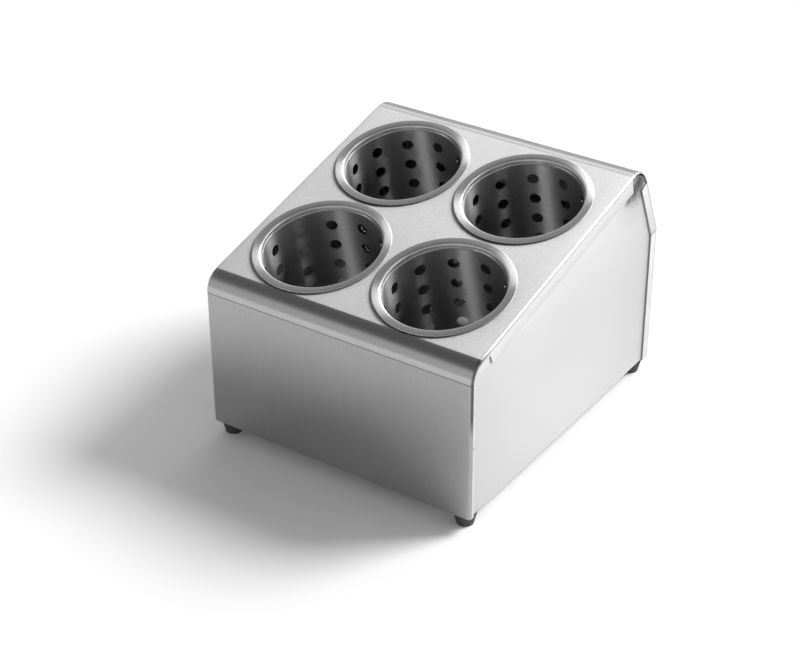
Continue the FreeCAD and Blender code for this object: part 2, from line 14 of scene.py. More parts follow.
import bmesh
import bpy
import numpy as np
from mathutils import Matrix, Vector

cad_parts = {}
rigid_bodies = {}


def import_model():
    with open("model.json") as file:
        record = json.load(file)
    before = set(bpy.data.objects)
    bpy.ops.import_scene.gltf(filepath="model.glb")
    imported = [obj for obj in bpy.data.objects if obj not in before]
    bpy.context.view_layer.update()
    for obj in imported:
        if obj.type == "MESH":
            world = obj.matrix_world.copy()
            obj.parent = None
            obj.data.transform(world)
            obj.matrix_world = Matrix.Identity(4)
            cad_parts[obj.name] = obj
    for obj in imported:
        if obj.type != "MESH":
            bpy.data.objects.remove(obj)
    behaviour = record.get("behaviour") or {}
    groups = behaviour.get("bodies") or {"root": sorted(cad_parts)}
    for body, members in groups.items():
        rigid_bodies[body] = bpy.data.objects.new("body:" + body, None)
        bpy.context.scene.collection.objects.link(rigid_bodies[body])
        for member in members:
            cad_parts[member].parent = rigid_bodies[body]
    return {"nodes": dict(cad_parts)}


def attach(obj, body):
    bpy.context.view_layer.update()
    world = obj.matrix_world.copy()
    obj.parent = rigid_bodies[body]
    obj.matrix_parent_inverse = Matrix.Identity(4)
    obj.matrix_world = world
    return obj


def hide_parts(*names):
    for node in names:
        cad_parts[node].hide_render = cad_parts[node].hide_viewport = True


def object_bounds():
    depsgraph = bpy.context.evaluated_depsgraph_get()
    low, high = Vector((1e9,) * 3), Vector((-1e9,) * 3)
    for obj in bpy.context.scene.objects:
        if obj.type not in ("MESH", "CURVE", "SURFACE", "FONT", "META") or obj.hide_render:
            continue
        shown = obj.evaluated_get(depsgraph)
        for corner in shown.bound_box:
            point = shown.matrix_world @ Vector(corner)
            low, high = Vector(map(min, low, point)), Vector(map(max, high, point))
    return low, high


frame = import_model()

cad_low, cad_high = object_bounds()
print("overall size in metres:", [round(h - l, 4) for l, h in zip(cad_low, cad_high)])

# %% [markdown]
# ## Driving sizes
#
# A dispenser like this is set by a plan size, two heights, a slope and the bends. The
# plan size is read from the frame. The rest are given here, written in millimetres and
# turned into metres once. Heights are above the feet's soles or above the case's lower
# edge, and all sheet sizes are outer sizes.

# %% Sizes of the case
MM = 0.001
half_width = (cad_high.x - cad_low.x) / 2
half_depth = (cad_high.y - cad_low.y) / 2
foot_height = 12.0 * MM
front_rise = 131.5 * MM
back_rise = 122.5 * MM
facet_run = 31.5 * MM
slope = math.radians(13.7)
sheet = 1.0 * MM
front_bend = 16.5 * MM
rear_bend = 22.0 * MM
back_bend = 3.0 * MM
side_bend = 2.5 * MM
front_lip = 5.0 * MM
top_flange = 14.0 * MM
rear_flange = 10.5 * MM
flange_start = 24.0 * MM
flange_corner = 3.5 * MM
notch_reach = 20.0 * MM
mitre_slit = 0.5 * MM
wrap_return = 12.0 * MM
panel_gap = 0.1 * MM
panel_return = 22.0 * MM
panel_bend = 2.0 * MM
return_gap = 0.5 * MM
print("half width %.4f, half depth %.4f" % (half_width, half_depth))

# %% [markdown]
# The cylinders stand in two rows of two. Their sizes are measured from the sloping top:
# the rim above it, the neck and the tube below. The cylinders are loose, so each one has
# its own turn in its hole, in degrees, and has slipped a little to one side. A foot is a
# short cone with a recess for its screw.

# %% Sizes of the cylinders and feet
column_pitch = 114.0 * MM
row_pitch = 114.0 * MM
front_row = 68.0 * MM
hole_clearance = 2.5 * MM
mouth_radius = 47.9 * MM
rim_radius = 55.0 * MM
rim_sheet = 0.9 * MM
rim_height = 1.75 * MM
mouth_bend = 2.0 * MM
rim_edge_bend = 0.4 * MM
hem_reach = 2.5 * MM
hem_edge = 0.65 * MM
neck_reach = 6.0 * MM
weld_fit = 0.05 * MM
tube_sheet = 0.8 * MM
tube_top = 2.8 * MM
cylinder_depth = 135.0 * MM
hole_radius = 4.8 * MM
first_hole = 17.4 * MM
hole_pitch = 20.3 * MM
hole_rows = 6
hole_columns = 11
base_sheet = 0.8 * MM
base_rim = 8.0 * MM
base_bend = 3.0 * MM
drain_radius = 4.8 * MM
drain_circle = 26.0 * MM
drain_count = 6
foot_top = 9.3 * MM
foot_bottom = 6.8 * MM
foot_neck = 1.2 * MM
foot_neck_height = 1.4 * MM
foot_edge = 0.6 * MM
foot_recess = 4.75 * MM
foot_recess_depth = 5.0 * MM
foot_bore = 2.25 * MM
foot_inset = 11.0 * MM
# name: (left -1 or right 1, row, turn, slip)
cylinders = {
    "front_left": (-1, 0, 119.0, -1.2 * MM),
    "front_right": (1, 0, 116.2, -2.2 * MM),
    "rear_left": (-1, 1, 121.0, -0.9 * MM),
    "rear_right": (1, 1, 113.5, -0.8 * MM),
}
print("cylinders:", ", ".join(cylinders))

# %% [markdown]
# ## From arrays to a mesh
#
# Every visible sheet is a surface on a grid: a table of points with rows and columns.
# A patch keeps its points and, beside them, flat coordinates (u, v) in metres, so that
# the brushing can follow the sheet round its bends. Patches that share an edge are
# joined point to point. A single skin becomes real sheet metal by giving it a
# thickness, which leaves true cut edges at the holes and flanges.

# %% Patches and meshes
same_point, no_length = 2e-6, 1e-7


def patch(points, uv):
    """A grid of points (rows, columns, 3) with flat coordinates (rows, columns, 2)."""
    return np.asarray(points, float), np.asarray(uv, float)


def grid_quads(rows, columns):
    """Corner numbers of each cell of a grid, counted row by row."""
    number = np.arange(rows * columns).reshape(rows, columns)
    corners = (number[:-1, :-1], number[1:, :-1], number[1:, 1:], number[:-1, 1:])
    return np.stack(corners, axis=-1).reshape(-1, 4)


def pairs(first, second):
    """Two values, or arrays that fit each other, joined into an array of pairs."""
    return np.stack(np.broadcast_arrays(first, second), axis=-1)


def lengths_along(line):
    """Distance along a line from its first point to each of its points."""
    return np.concatenate([[0.0], np.cumsum(np.linalg.norm(np.diff(line, axis=0), axis=1))])


def mesh_from_patches(name, patches, polygons=()):
    """Join patches, and flat polygons given as (points, uv), into one welded mesh."""
    points, uvs, faces = [], [], []
    count = 0
    for grid, uv in patches:
        rows, columns = grid.shape[:2]
        points.append(grid.reshape(-1, 3))
        uvs.append(uv.reshape(-1, 2))
        faces += (grid_quads(rows, columns) + count).tolist()
        count += rows * columns
    for outline, uv in polygons:
        points.append(np.asarray(outline, float))
        uvs.append(np.asarray(uv, float))
        faces.append(list(range(count, count + len(outline))))
        count += len(outline)
    mesh = bpy.data.meshes.new(name)
    mesh.from_pydata(np.concatenate(points), [], faces)
    layer = mesh.uv_layers.new(name="flat")
    corner = np.zeros(len(mesh.loops), np.int32)
    mesh.loops.foreach_get("vertex_index", corner)
    layer.data.foreach_set("uv", np.concatenate(uvs)[corner].astype(np.float32).ravel())
    work = bmesh.new()
    work.from_mesh(mesh)
    bmesh.ops.remove_doubles(work, verts=work.verts, dist=same_point)
    bmesh.ops.dissolve_degenerate(work, edges=work.edges, dist=no_length)
    work.to_mesh(mesh)
    work.free()
    return mesh


def face_out(mesh, inside=None):
    """Turn the faces of a closed skin outwards, or those of an open one away from a point.

    An open skin is turned as a whole: the sum over its faces of area times the normal's
    part along the way from the point to the face has to be positive.
    """
    work = bmesh.new()
    work.from_mesh(mesh)
    bmesh.ops.recalc_face_normals(work, faces=work.faces)
    if inside is not None:
        score = 0.0
        for face in work.faces:
            outwards = np.array(face.calc_center_median()) - np.asarray(inside, float)
            score += face.calc_area() * float(np.dot(np.array(face.normal), outwards))
        if score < 0:
            bmesh.ops.reverse_faces(work, faces=work.faces)
    work.to_mesh(mesh)
    work.free()


print("mesh helpers ready")

# %% [markdown]
# A piece is finished in one place. Its skin gets a thickness inwards and, where a cut
# edge would look too sharp, a fine bevel. Soft bends are shaded smoothly and true edges
# stay crisp. Then the piece rides on its body and takes the place of its plain solid.

# %% Finishing a piece
crisp_angle, bevel_angle = 32, 50


def shade(mesh):
    """Smooth shading, with edges sharper than the crisp angle left sharp."""
    mesh.polygons.foreach_set("use_smooth", np.ones(len(mesh.polygons), bool))
    mesh.set_sharp_from_angle(angle=math.radians(crisp_angle))


def finish_piece(name, mesh, body, node, material, thickness=0.0, bevel=0.0):
    """Make the object, give a skin its thickness and fine edges, and let it replace its node."""
    piece = bpy.data.objects.new(name, mesh)
    bpy.context.scene.collection.objects.link(piece)
    if thickness:
        solid = piece.modifiers.new("thickness", "SOLIDIFY")
        solid.thickness = thickness
        solid.offset = -1.0
        solid.use_even_offset = True
    if bevel:
        edge = piece.modifiers.new("edges", "BEVEL")
        edge.width = bevel
        edge.segments = 2
        edge.limit_method = "ANGLE"
        edge.angle_limit = math.radians(bevel_angle)
    if thickness or bevel:
        graph = bpy.context.evaluated_depsgraph_get()
        solid_mesh = bpy.data.meshes.new_from_object(piece.evaluated_get(graph))
        piece.modifiers.clear()
        piece.data = solid_mesh
        solid_mesh.name = name
    shade(piece.data)
    piece.data.materials.clear()
    piece.data.materials.append(material)
    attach(piece, body)
    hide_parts(node)
    print("%-26s %6d faces" % (name, len(piece.data.polygons)))


print("piece helper ready")

# %% [markdown]
# ## The section of the case
#
# Seen from the side, the wrap is one line: up the front, round a wide bend, along the
# sloping top, round the rear bend, down a short facet and down the back. Each straight
# run has an outward normal. A bend of radius R at a corner is an arc whose centre lies
# on the corner's bisector. Moving the whole line inwards by a distance d keeps the
# centres and makes the radii R - d, until a bend is used up and turns into a corner.

# %% Corners, normals and bends of the section
front, back = -half_depth, half_depth
floor_gap = foot_height
top_corner = floor_gap + front_rise
facet_y = back - facet_run
facet_z = top_corner + (facet_y - front) * math.tan(slope)
back_z = floor_gap + back_rise
corners = np.array([
    [front, floor_gap], [front, top_corner], [facet_y, facet_z], [back, back_z], [back, floor_gap],
])
run_vector = np.diff(corners, axis=0)
run_length = np.linalg.norm(run_vector, axis=1)
run_direction = run_vector / run_length[:, None]
run_normal = pairs(-run_direction[:, 1], run_direction[:, 0])
bend_radius = np.array([front_bend, rear_bend, back_bend])
top_length = run_length[1]
print("section runs in mm:", (run_length / MM).round(1))


def bend_centre(number, inset):
    """Centre of a bend when the line is moved inwards; past its radius, the corner itself."""
    before, after = run_normal[number], run_normal[number + 1]
    step = (before + after) / (1.0 + before @ after)
    reach = np.maximum(inset, bend_radius[number])
    return corners[number + 1] - reach[..., None] * step


def run_end(number, inset, last):
    """Where a straight run starts or ends, when the line is moved inwards."""
    normal = run_normal[number]
    if last and number < 3:
        left = np.maximum(bend_radius[number] - inset, 0.0)
        return bend_centre(number, inset) + left[..., None] * normal
    if not last and number > 0:
        left = np.maximum(bend_radius[number - 1] - inset, 0.0)
        return bend_centre(number - 1, inset) + left[..., None] * normal
    return corners[4 if last else 0] - inset[..., None] * normal


# %% [markdown]
# Along that line the mesh needs points: few on the flat runs, many round the bends, and
# some exactly where flanges and holes begin. Each point is a station: the number of a
# run, or of a bend counted from BEND, and how far along it lies, from 0 to 1.

# %% Stations along the section
BEND = 10
cell_lines, bend_lines, small_bend_lines = 17, 17, 6
closest_lines = 0.3 * MM
decimals = 7


def distances_on_top():
    """Distances from the front corner along the top at which the mesh has a line."""
    ends = (tangent_front, cell_front, cell_middle, cell_rear, top_length - notch_reach, tangent_rear)
    cells = [
        np.linspace(cell_front, cell_middle, cell_lines),
        np.linspace(cell_middle, cell_rear, cell_lines),
    ]
    corner = flange_start + flange_corner * np.array([0.0, 0.12, 0.35, 0.65, 1.0])
    lines = np.unique(np.round(np.concatenate([ends, *cells, corner]), decimals))
    close = np.concatenate([[False], np.diff(lines) < closest_lines])
    keep = ~close | np.isin(lines, np.round(np.concatenate([ends, corner]), decimals))
    return lines[keep]


def half_turn_length(number):
    """Length from a corner to the start of its bend: radius times tangent of half the turn."""
    turn = math.acos(float(run_direction[number] @ run_direction[number + 1]))
    return bend_radius[number] * math.tan(turn / 2)


tangent_front = half_turn_length(0)
tangent_rear = top_length - half_turn_length(1)
cell_front = 14.5 * MM
cell_middle = front_row + row_pitch / 2
cell_rear = 236.0 * MM
on_top = (distances_on_top() - tangent_front) / (tangent_rear - tangent_front)
facet_length = run_length[2] - half_turn_length(1) - half_turn_length(2)
facet_flange_start = (notch_reach - half_turn_length(1)) / facet_length
stations = np.array(
    [(0, t) for t in (0.0, 0.004, 0.35, 0.7, 1.0)]
    + [(BEND, t) for t in np.linspace(0, 1, bend_lines)[1:-1]]
    + [(1, t) for t in on_top]
    + [(BEND + 1, t) for t in np.linspace(0, 1, bend_lines)[1:-1]]
    + [(2, t) for t in (0.0, facet_flange_start, 0.5, 1.0)]
    + [(BEND + 2, t) for t in np.linspace(0, 1, small_bend_lines)[1:-1]]
    + [(3, t) for t in (0.0, 0.5, 0.9, 1.0)]
)
print("stations along the section:", len(stations))


def section(inset, which=slice(None)):
    """The (y, z) points of the section at the stations, moved inwards by an inset."""
    kind, part = stations[which, 0].astype(int), stations[which, 1]
    inset = np.broadcast_to(np.asarray(inset, float), kind.shape)
    points = np.zeros((len(kind), 2))
    for number in range(4):
        here = kind == number
        start, end = run_end(number, inset[here], False), run_end(number, inset[here], True)
        points[here] = start + part[here, None] * (end - start)
    for number in range(3):
        here = kind == BEND + number
        first = math.atan2(run_normal[number][1], run_normal[number][0])
        second = math.atan2(run_normal[number + 1][1], run_normal[number + 1][0])
        angle = first + part[here] * (second - first)
        left = np.maximum(bend_radius[number] - inset[here], 0.0)
        outwards = pairs(np.cos(angle), np.sin(angle))
        points[here] = bend_centre(number, inset[here]) + left[:, None] * outwards
    return points


def station_at(kind, part):
    """Number of the station nearest to a place on a run or bend."""
    same = np.flatnonzero(stations[:, 0] == kind)
    return int(same[np.argmin(np.abs(stations[same, 1] - part))])


outer_line = section(0.0)
travel = lengths_along(outer_line)
print("developed length of the wrap in mm: %.1f" % (travel[-1] / MM))

# %% [markdown]
# ## Node helpers for the finishes
#
# A brushed sheet is bright metal with thousands of fine scratches that all run one way.
# Two things show it: the highlight is smeared across the scratches, which the metal
# shader's anisotropy does, and a faint streaky grain runs along them. The grain is
# noise that is stretched along the sheet by scaling its flat coordinates. Small helpers
# keep such recipes short: each adds one step to a material and returns its result.

# %% Small node helpers
noise_range = (0.3, 0.7)


def new_material(name):
    """An empty node material with its output and main shader."""
    material = bpy.data.materials.new(name)
    material.use_nodes = True
    nodes = material.node_tree.nodes
    nodes.clear()
    output = nodes.new("ShaderNodeOutputMaterial")
    shader = nodes.new("ShaderNodeBsdfPrincipled")
    material.node_tree.links.new(shader.outputs["BSDF"], output.inputs["Surface"])
    return material, shader


def link(material, source, target):
    """Connect two sockets of a material, or of the world."""
    material.node_tree.links.new(source, target)


def node(material, kind, **settings):
    """Add a node and set its plain properties."""
    made = material.node_tree.nodes.new(kind)
    for key, value in settings.items():
        setattr(made, key, value)
    return made


def coordinates(material, kind, scale=(1.0, 1.0, 1.0)):
    """Flat ("flat") or object coordinates, stretched by a scale along each axis."""
    if kind == "flat":
        source = node(material, "ShaderNodeUVMap", uv_map="flat").outputs["UV"]
    else:
        source = node(material, "ShaderNodeTexCoord").outputs["Object"]
    mapping = node(material, "ShaderNodeMapping")
    mapping.inputs["Scale"].default_value = scale
    link(material, source, mapping.inputs["Vector"])
    return mapping.outputs["Vector"]


def axes_of(material, vector):
    """A vector's values along the axes, found by the names "X", "Y" and "Z"."""
    split = node(material, "ShaderNodeSeparateXYZ")
    link(material, vector, split.inputs["Vector"])
    return split.outputs


def noise(material, vector, detail, scale=1.0, roughness=0.5):
    """Fractal noise between 0 and 1; nearly all of it lies in the noise range."""
    made = node(material, "ShaderNodeTexNoise")
    made.inputs["Scale"].default_value = scale
    made.inputs["Detail"].default_value = detail
    made.inputs["Roughness"].default_value = roughness
    link(material, vector, made.inputs["Vector"])
    return made.outputs["Fac"]


def remap(material, value, low, high, to_low, to_high):
    """Stretch a value from one range to another, and clamp it."""
    made = node(material, "ShaderNodeMapRange")
    limits = {"From Min": low, "From Max": high, "To Min": to_low, "To Max": to_high}
    for key, number in limits.items():
        made.inputs[key].default_value = number
    link(material, value, made.inputs["Value"])
    return made.outputs["Result"]


def arithmetic(material, operation, first, second=0.0):
    """Join two values by an operation; each is a number or a socket."""
    made = node(material, "ShaderNodeMath", operation=operation)
    for slot, value in zip(made.inputs, (first, second)):
        if isinstance(value, (int, float)):
            slot.default_value = value
        else:
            link(material, value, slot)
    return made.outputs["Value"]


def times(material, first, second):
    """The product of two values."""
    return arithmetic(material, "MULTIPLY", first, second)


def plus(material, first, second):
    """The sum of two values."""
    return arithmetic(material, "ADD", first, second)


def minus(material, first, second):
    """The first value less the second."""
    return arithmetic(material, "SUBTRACT", first, second)


def band(material, value, middle, half, soft, outside, inside):
    """One number within half a width of a middle, another beyond it, with a soft edge."""
    away = arithmetic(material, "ABSOLUTE", minus(material, value, middle))
    return remap(material, away, half - soft, half + soft, inside, outside)


def only_on(material, factor, mask):
    """A factor where a mask is 1, which fades to 1 where the mask is 0: 1 + mask (factor - 1)."""
    return plus(material, times(material, mask, minus(material, factor, 1.0)), 1.0)


def tint(material, factor, dark, light):
    """A colour between two colours."""
    made = node(material, "ShaderNodeMix", data_type="RGBA")
    made.inputs["A"].default_value = (*dark, 1.0)
    made.inputs["B"].default_value = (*light, 1.0)
    link(material, factor, made.inputs["Factor"])
    return made.outputs["Result"]


def bump(material, shader, height, strength, distance):
    """Fine relief from a height value."""
    made = node(material, "ShaderNodeBump")
    made.inputs["Strength"].default_value = strength
    made.inputs["Distance"].default_value = distance
    link(material, height, made.inputs["Height"])
    link(material, made.outputs["Normal"], shader.inputs["Normal"])


print("helpers ready")

# %% [markdown]
# ## Brushed sheet
#
# On the wrap and the panels the scratches run from front to back, up the front face,
# along the top and down behind. In the flat coordinates u runs across the scratches and
# v along them, so the grain's noise is fine in u and long in v. A broad, weak cloudiness
# and a fine mottle stand for the unevenness that every rolled sheet has. The roughness
# changes from zone to zone of the wrap: smooth on the front bend, coarser on the top,
# matt on the facet. Each zone's tone is also scaled as painted light and shade: painted
# brighter on the top and the flanges, painted darker on the front and the facet.

# %% Recipe for brushed steel
ROUGH, PAINTED_LIGHT, SPOTS = 0, 1, 2
streak_share, cloud_share, mottle_share = 0.35, 0.2, 0.45
mottle_scale, cloud_scale = 900.0, 14.0
rough_spread = 0.02
grain_depth = 0.02 * MM
zone_edge = 0.3 * MM


def brushed(name, tones, rough, anisotropy, grain, relief, zones=()):
    """Brushed steel between two tones; grain is the noise's scale across and along the sheet.

    A zone is a start and an end in v, and three factors that hold between them: on the
    roughness, on the brightness, which paints light and shade, and on the strength of the mottle.
    """
    material, shader = new_material(name)
    place = coordinates(material, "object")
    streaks = noise(material, coordinates(material, "flat", (*grain, 1.0)), detail=3.0, roughness=0.6)
    mottle = noise(material, place, detail=2.0, scale=mottle_scale)
    clouds = noise(material, place, detail=2.0, scale=cloud_scale)

    def zoned(value, number):
        """The value times one of each zone's three factors, within that zone."""
        for start, end, *factors in zones:
            run = axes_of(material, coordinates(material, "flat"))["Y"]
            middle, half = (start + end) / 2, (end - start) / 2
            value = times(material, value, band(material, run, middle, half, zone_edge, 1.0, factors[number]))
        return value

    mottle = plus(material, zoned(minus(material, mottle, 0.5), SPOTS), 0.5)
    broad = plus(material, times(material, clouds, cloud_share), times(material, mottle, mottle_share))
    blend = plus(material, times(material, streaks, streak_share), broad)
    tone = zoned(remap(material, blend, *noise_range, *tones), PAINTED_LIGHT)
    gloss = remap(material, blend, *noise_range, rough - rough_spread, rough + rough_spread)
    gloss = zoned(gloss, ROUGH)
    link(material, tone, shader.inputs["Base Color"])
    link(material, gloss, shader.inputs["Roughness"])
    shader.inputs["Metallic"].default_value = 1.0
    shader.inputs["Anisotropic"].default_value = anisotropy
    direction = node(material, "ShaderNodeTangent", direction_type="UV_MAP", uv_map="flat")
    link(material, direction.outputs["Tangent"], shader.inputs["Tangent"])
    bump(material, shader, streaks, relief, grain_depth)
    return material, tone, shader


print("recipe ready")

# %% [markdown]
# The zones of the wrap begin and end where its runs do, so they are read off the length
# travelled along the section. Flanges and front lips carry their flat coordinates a
# metre or two apart from the skin's, which makes each of them a zone as well. The other
# sheets have one finish all over: the rims are turned to a finer grain, the tubes are
# more strongly brushed and their tone is painted dark, as painted shade of their deep
# insides, and the drawn pans hardly show a direction.

# %% Steel of the case and the cylinders
bend_start, bend_end = travel[station_at(0, 1.0)], travel[station_at(1, 0.0)]
top_end = travel[station_at(1, 1.0)]
facet_start, facet_stop = travel[station_at(2, 0.0)], travel[station_at(2, 1.0)]
crest_rise = 7.0 * MM
flange_shift, lip_shift = 1.0, 2.0
shift_reach = 0.4
# Each zone: start, end, and factors on roughness, brightness and mottle. The brightness factors are painted
# light and shade: the top, the flanges and the front lips painted brighter, the front, the front bend and the
# facet painted darker.
case_zones = {
    "front": (-2 * wrap_return, bend_start, 0.96, 0.88, 0.6),
    "front bend": (bend_start, bend_end, 0.82, 0.97, 0.35),
    "top": (bend_end, top_end, 1.66, 1.18, 1.6),
    "start of the rear bend": (top_end, top_end + crest_rise, 1.3, 1.0, 1.0),
    "facet": (facet_start, facet_stop, 1.5, 0.8, 1.0),
    "flanges": (-flange_shift - shift_reach, -flange_shift + shift_reach, 1.4, 1.16, 0.6),
    "front lips": (-lip_shift - shift_reach, -lip_shift + shift_reach, 1.4, 1.05, 0.6),
}
case_steel, case_tone, case_shader = brushed(
    "brushed_case_sheet", tones=(0.37, 0.49), rough=0.33, anisotropy=0.8,
    grain=(2600.0, 22.0), relief=0.08, zones=case_zones.values())
panel_steel, panel_tone, panel_shader = brushed(
    "brushed_panel_sheet", tones=(0.445, 0.475), rough=0.46, anisotropy=0.8,
    grain=(2600.0, 22.0), relief=0.08)
rim_steel = brushed(
    "turned_rim", tones=(0.53, 0.67), rough=0.30, anisotropy=0.97, grain=(5200.0, 30.0), relief=0.2)[0]
# The tubes' low tone is painted shade: it stands for the dark inside of each deep tube.
shaded_tube_steel = brushed(
    "tube_sheet", tones=(0.26, 0.41), rough=0.31, anisotropy=1.0, grain=(2400.0, 30.0), relief=0.5)[0]
pan_steel = brushed(
    "drawn_pan", tones=(0.42, 0.52), rough=0.34, anisotropy=0.3, grain=(1800.0, 200.0), relief=0.2)[0]
print("zones of the case in mm:")
for name, (start, end, *factors) in case_zones.items():
    print("  %-24s %8.1f to %8.1f" % (name, start / MM, end / MM), factors)

# %% [markdown]
# ## Marks of bending, and painted shade
#
# The side bends are smoother from the press's burnishing, and their tone is painted
# darker too, as painted shade that narrows their highlight. Where the press let go there
# is a fine dark line across the front, just under the bend. The crest of the rear bend is
# painted dark from side to side: a painted dark reflection. Near the front corners a thin
# line of painted shade lies beside the side bend, and painted shade also darkens the
# sheet along the slit between the rear flanges. Each mark is a factor on the sheet's tone
# in a soft-edged band, given by its middle, half its width and the softness of its edge.

# %% Marks of bending and painted shade
brake_band, brake_tone = (bend_start - 0.3 * MM, 0.45 * MM, 0.2 * MM), 0.5
# Painted reflection: a dark band across the crest of the rear bend.
crest_reflection_band, crest_reflection_tone = (top_end + 11.5 * MM, 6.5 * MM, 1.5 * MM), 0.34
# Painted shade: a thin dark line beside the side bend near the front corners.
corner_shade_band, corner_shade_tone = (half_width + 0.6 * MM, 1.6 * MM, 0.8 * MM), 0.28
corner_shade_stretch = (bend_start - 4.0 * MM, 34.0 * MM, 8.0 * MM)
# Painted shade: a dark band on the flanges along the slit between them.
slit_shade_band, slit_shade_tone = (0.0, 0.7 * MM, 0.3 * MM), 0.45
# The lower roughness on the side bends is their burnish; their darker tone is painted shade that narrows
# their highlight.
burnish_rough, bend_shade_tone = 0.65, 0.7
burnish_start = bend_end - 5.0 * MM
burnish_side = (half_width - side_bend, half_width - 0.6 * side_bend)
slit_corner = corners[3]
slit_line = (run_normal[2] + run_normal[3]) / np.linalg.norm(run_normal[2] + run_normal[3])
slit_normal = (-slit_line[1], slit_line[0])


def darken(material, shader, tone, factors):
    """Multiply the tone by each factor and use it as the colour."""
    for factor in factors:
        tone = times(material, tone, factor)
    link(material, tone, shader.inputs["Base Color"])


def case_marks():
    """Burnished side bends with painted shade, the brake line, the painted dark crest, and painted shade
    beside the corners and along the slit.
    """
    run = axes_of(case_steel, coordinates(case_steel, "flat"))["Y"]
    side = arithmetic(case_steel, "ABSOLUTE", axes_of(case_steel, coordinates(case_steel, "flat"))["X"])
    on_bend = remap(case_steel, side, *burnish_side, 0.0, 1.0)
    past_front = arithmetic(case_steel, "GREATER_THAN", run, burnish_start)
    burnish_and_shade = times(case_steel, on_bend, past_front)
    rough = case_shader.inputs["Roughness"].links[0].from_socket
    smoother = times(case_steel, rough, only_on(case_steel, burnish_rough, burnish_and_shade))
    link(case_steel, smoother, case_shader.inputs["Roughness"])
    # Painted shade: the side bends' tone is darkened.
    bend_shade = only_on(case_steel, bend_shade_tone, burnish_and_shade)

    brake_line = band(case_steel, run, *brake_band, 1.0, brake_tone)
    # Painted reflection: the crest of the rear bend is darkened from side to side.
    crest = band(case_steel, run, *crest_reflection_band, 1.0, crest_reflection_tone)
    crest = only_on(case_steel, crest, minus(case_steel, 1.0, on_bend))
    # Painted shade beside the side bend, near the front corners.
    beside_bend = band(case_steel, side, *corner_shade_band, 0.0, 1.0)
    near_corner = band(case_steel, run, *corner_shade_stretch, 0.0, 1.0)
    corner_shade = only_on(case_steel, corner_shade_tone, times(case_steel, beside_bend, near_corner))

    # Painted shade: the flanges darken within a band along the slit between them.
    place = axes_of(case_steel, coordinates(case_steel, "object"))
    out_y = times(case_steel, minus(case_steel, place["Y"], slit_corner[0]), slit_normal[0])
    out_z = times(case_steel, minus(case_steel, place["Z"], slit_corner[1]), slit_normal[1])
    off_slit = plus(case_steel, out_y, out_z)
    on_flange = arithmetic(case_steel, "LESS_THAN", run, -flange_shift + shift_reach)
    slit = only_on(case_steel, band(case_steel, off_slit, *slit_shade_band, 1.0, slit_shade_tone), on_flange)
    darken(case_steel, case_shader, case_tone, (brake_line, crest, bend_shade, corner_shade, slit))


case_marks()
print("side bends, brake line, crest, corner seams and slit line marked")

# %% [markdown]
# Behind the open notch at the rear bend, the panel is darker in a cloudy patch. It is
# made of three round spots, each given by its middle (y, z) and radius in millimetres.
# The distance to a spot is measured in its radii, the nearest spot counts, and noise
# makes the patch's edge ragged.

# %% Dark patch behind the notch
notch_spots = ((104.0, 191.0, 13.5), (97.0, 187.0, 10.0), (88.0, 184.0, 6.0))
far_off = 9.0
ragged_stretch, ragged_scale, ragged_by = (1.0, 1.6, 0.6), 800.0, 0.6
notch_dark_edge, notch_dark_tone = (0.2, 1.5), 0.06
halo_edge, halo_tone = (1.0, 3.0), 0.82


def notch_darkening():
    """Darkness from the distance to the nearest spot, in radii of that spot, and a faint halo."""
    place = axes_of(panel_steel, coordinates(panel_steel, "object"))
    streaky = coordinates(panel_steel, "object", ragged_stretch)
    ragged = noise(panel_steel, streaky, detail=3.0, scale=ragged_scale, roughness=0.7)
    away = far_off
    for centre_y, centre_z, radius in notch_spots:
        from_y = minus(panel_steel, place["Y"], centre_y * MM)
        from_z = minus(panel_steel, place["Z"], centre_z * MM)
        square = plus(panel_steel, times(panel_steel, from_y, from_y), times(panel_steel, from_z, from_z))
        distance = arithmetic(panel_steel, "DIVIDE", arithmetic(panel_steel, "SQRT", square), radius * MM)
        away = arithmetic(panel_steel, "MINIMUM", distance, away)
    rough_edge = plus(panel_steel, away, remap(panel_steel, ragged, *noise_range, -ragged_by, ragged_by))
    notch_dark = remap(panel_steel, rough_edge, *notch_dark_edge, notch_dark_tone, 1.0)
    halo = remap(panel_steel, away, *halo_edge, halo_tone, 1.0)
    darken(panel_steel, panel_shader, panel_tone, (notch_dark, halo))


notch_darkening()
print("weld tint of", len(notch_spots), "spots")

# %% [markdown]
# ## Rubber and zinc
#
# The feet are moulded rubber, nearly black, with a fine matt skin and paler patches
# where it is rubbed. Screws, washers and nuts are zinc-plated, a greyer and cloudier
# metal than the sheet. Noise on the object coordinates is enough for both.

# %% Materials of feet and fasteners
def moulded_rubber():
    """Dark rubber: coarse noise makes the paler patches, fine noise the matt skin."""
    material, shader = new_material("foot_rubber")
    skin = noise(material, coordinates(material, "object"), detail=4.0, scale=1800.0)
    rubbed = noise(material, coordinates(material, "object"), detail=2.0, scale=160.0)
    colour = tint(material, rubbed, (0.018, 0.018, 0.02), (0.05, 0.05, 0.052))
    link(material, colour, shader.inputs["Base Color"])
    link(material, remap(material, skin, *noise_range, 0.45, 0.65), shader.inputs["Roughness"])
    bump(material, shader, skin, strength=0.3, distance=0.05 * MM)
    return material


def zinc_plate():
    """Zinc-plated steel: one cloudy noise sets its brightness and its gloss."""
    material, shader = new_material("zinc_plate")
    clouds = noise(material, coordinates(material, "object"), detail=3.0, scale=600.0)
    colour = tint(material, clouds, (0.46, 0.46, 0.45), (0.66, 0.65, 0.62))
    link(material, colour, shader.inputs["Base Color"])
    link(material, remap(material, clouds, *noise_range, 0.28, 0.42), shader.inputs["Roughness"])
    shader.inputs["Metallic"].default_value = 1.0
    bump(material, shader, clouds, strength=0.15, distance=0.03 * MM)
    return material


foot_rubber = moulded_rubber()
fastener_steel = zinc_plate()
print("other materials:", foot_rubber.name, fastener_steel.name)

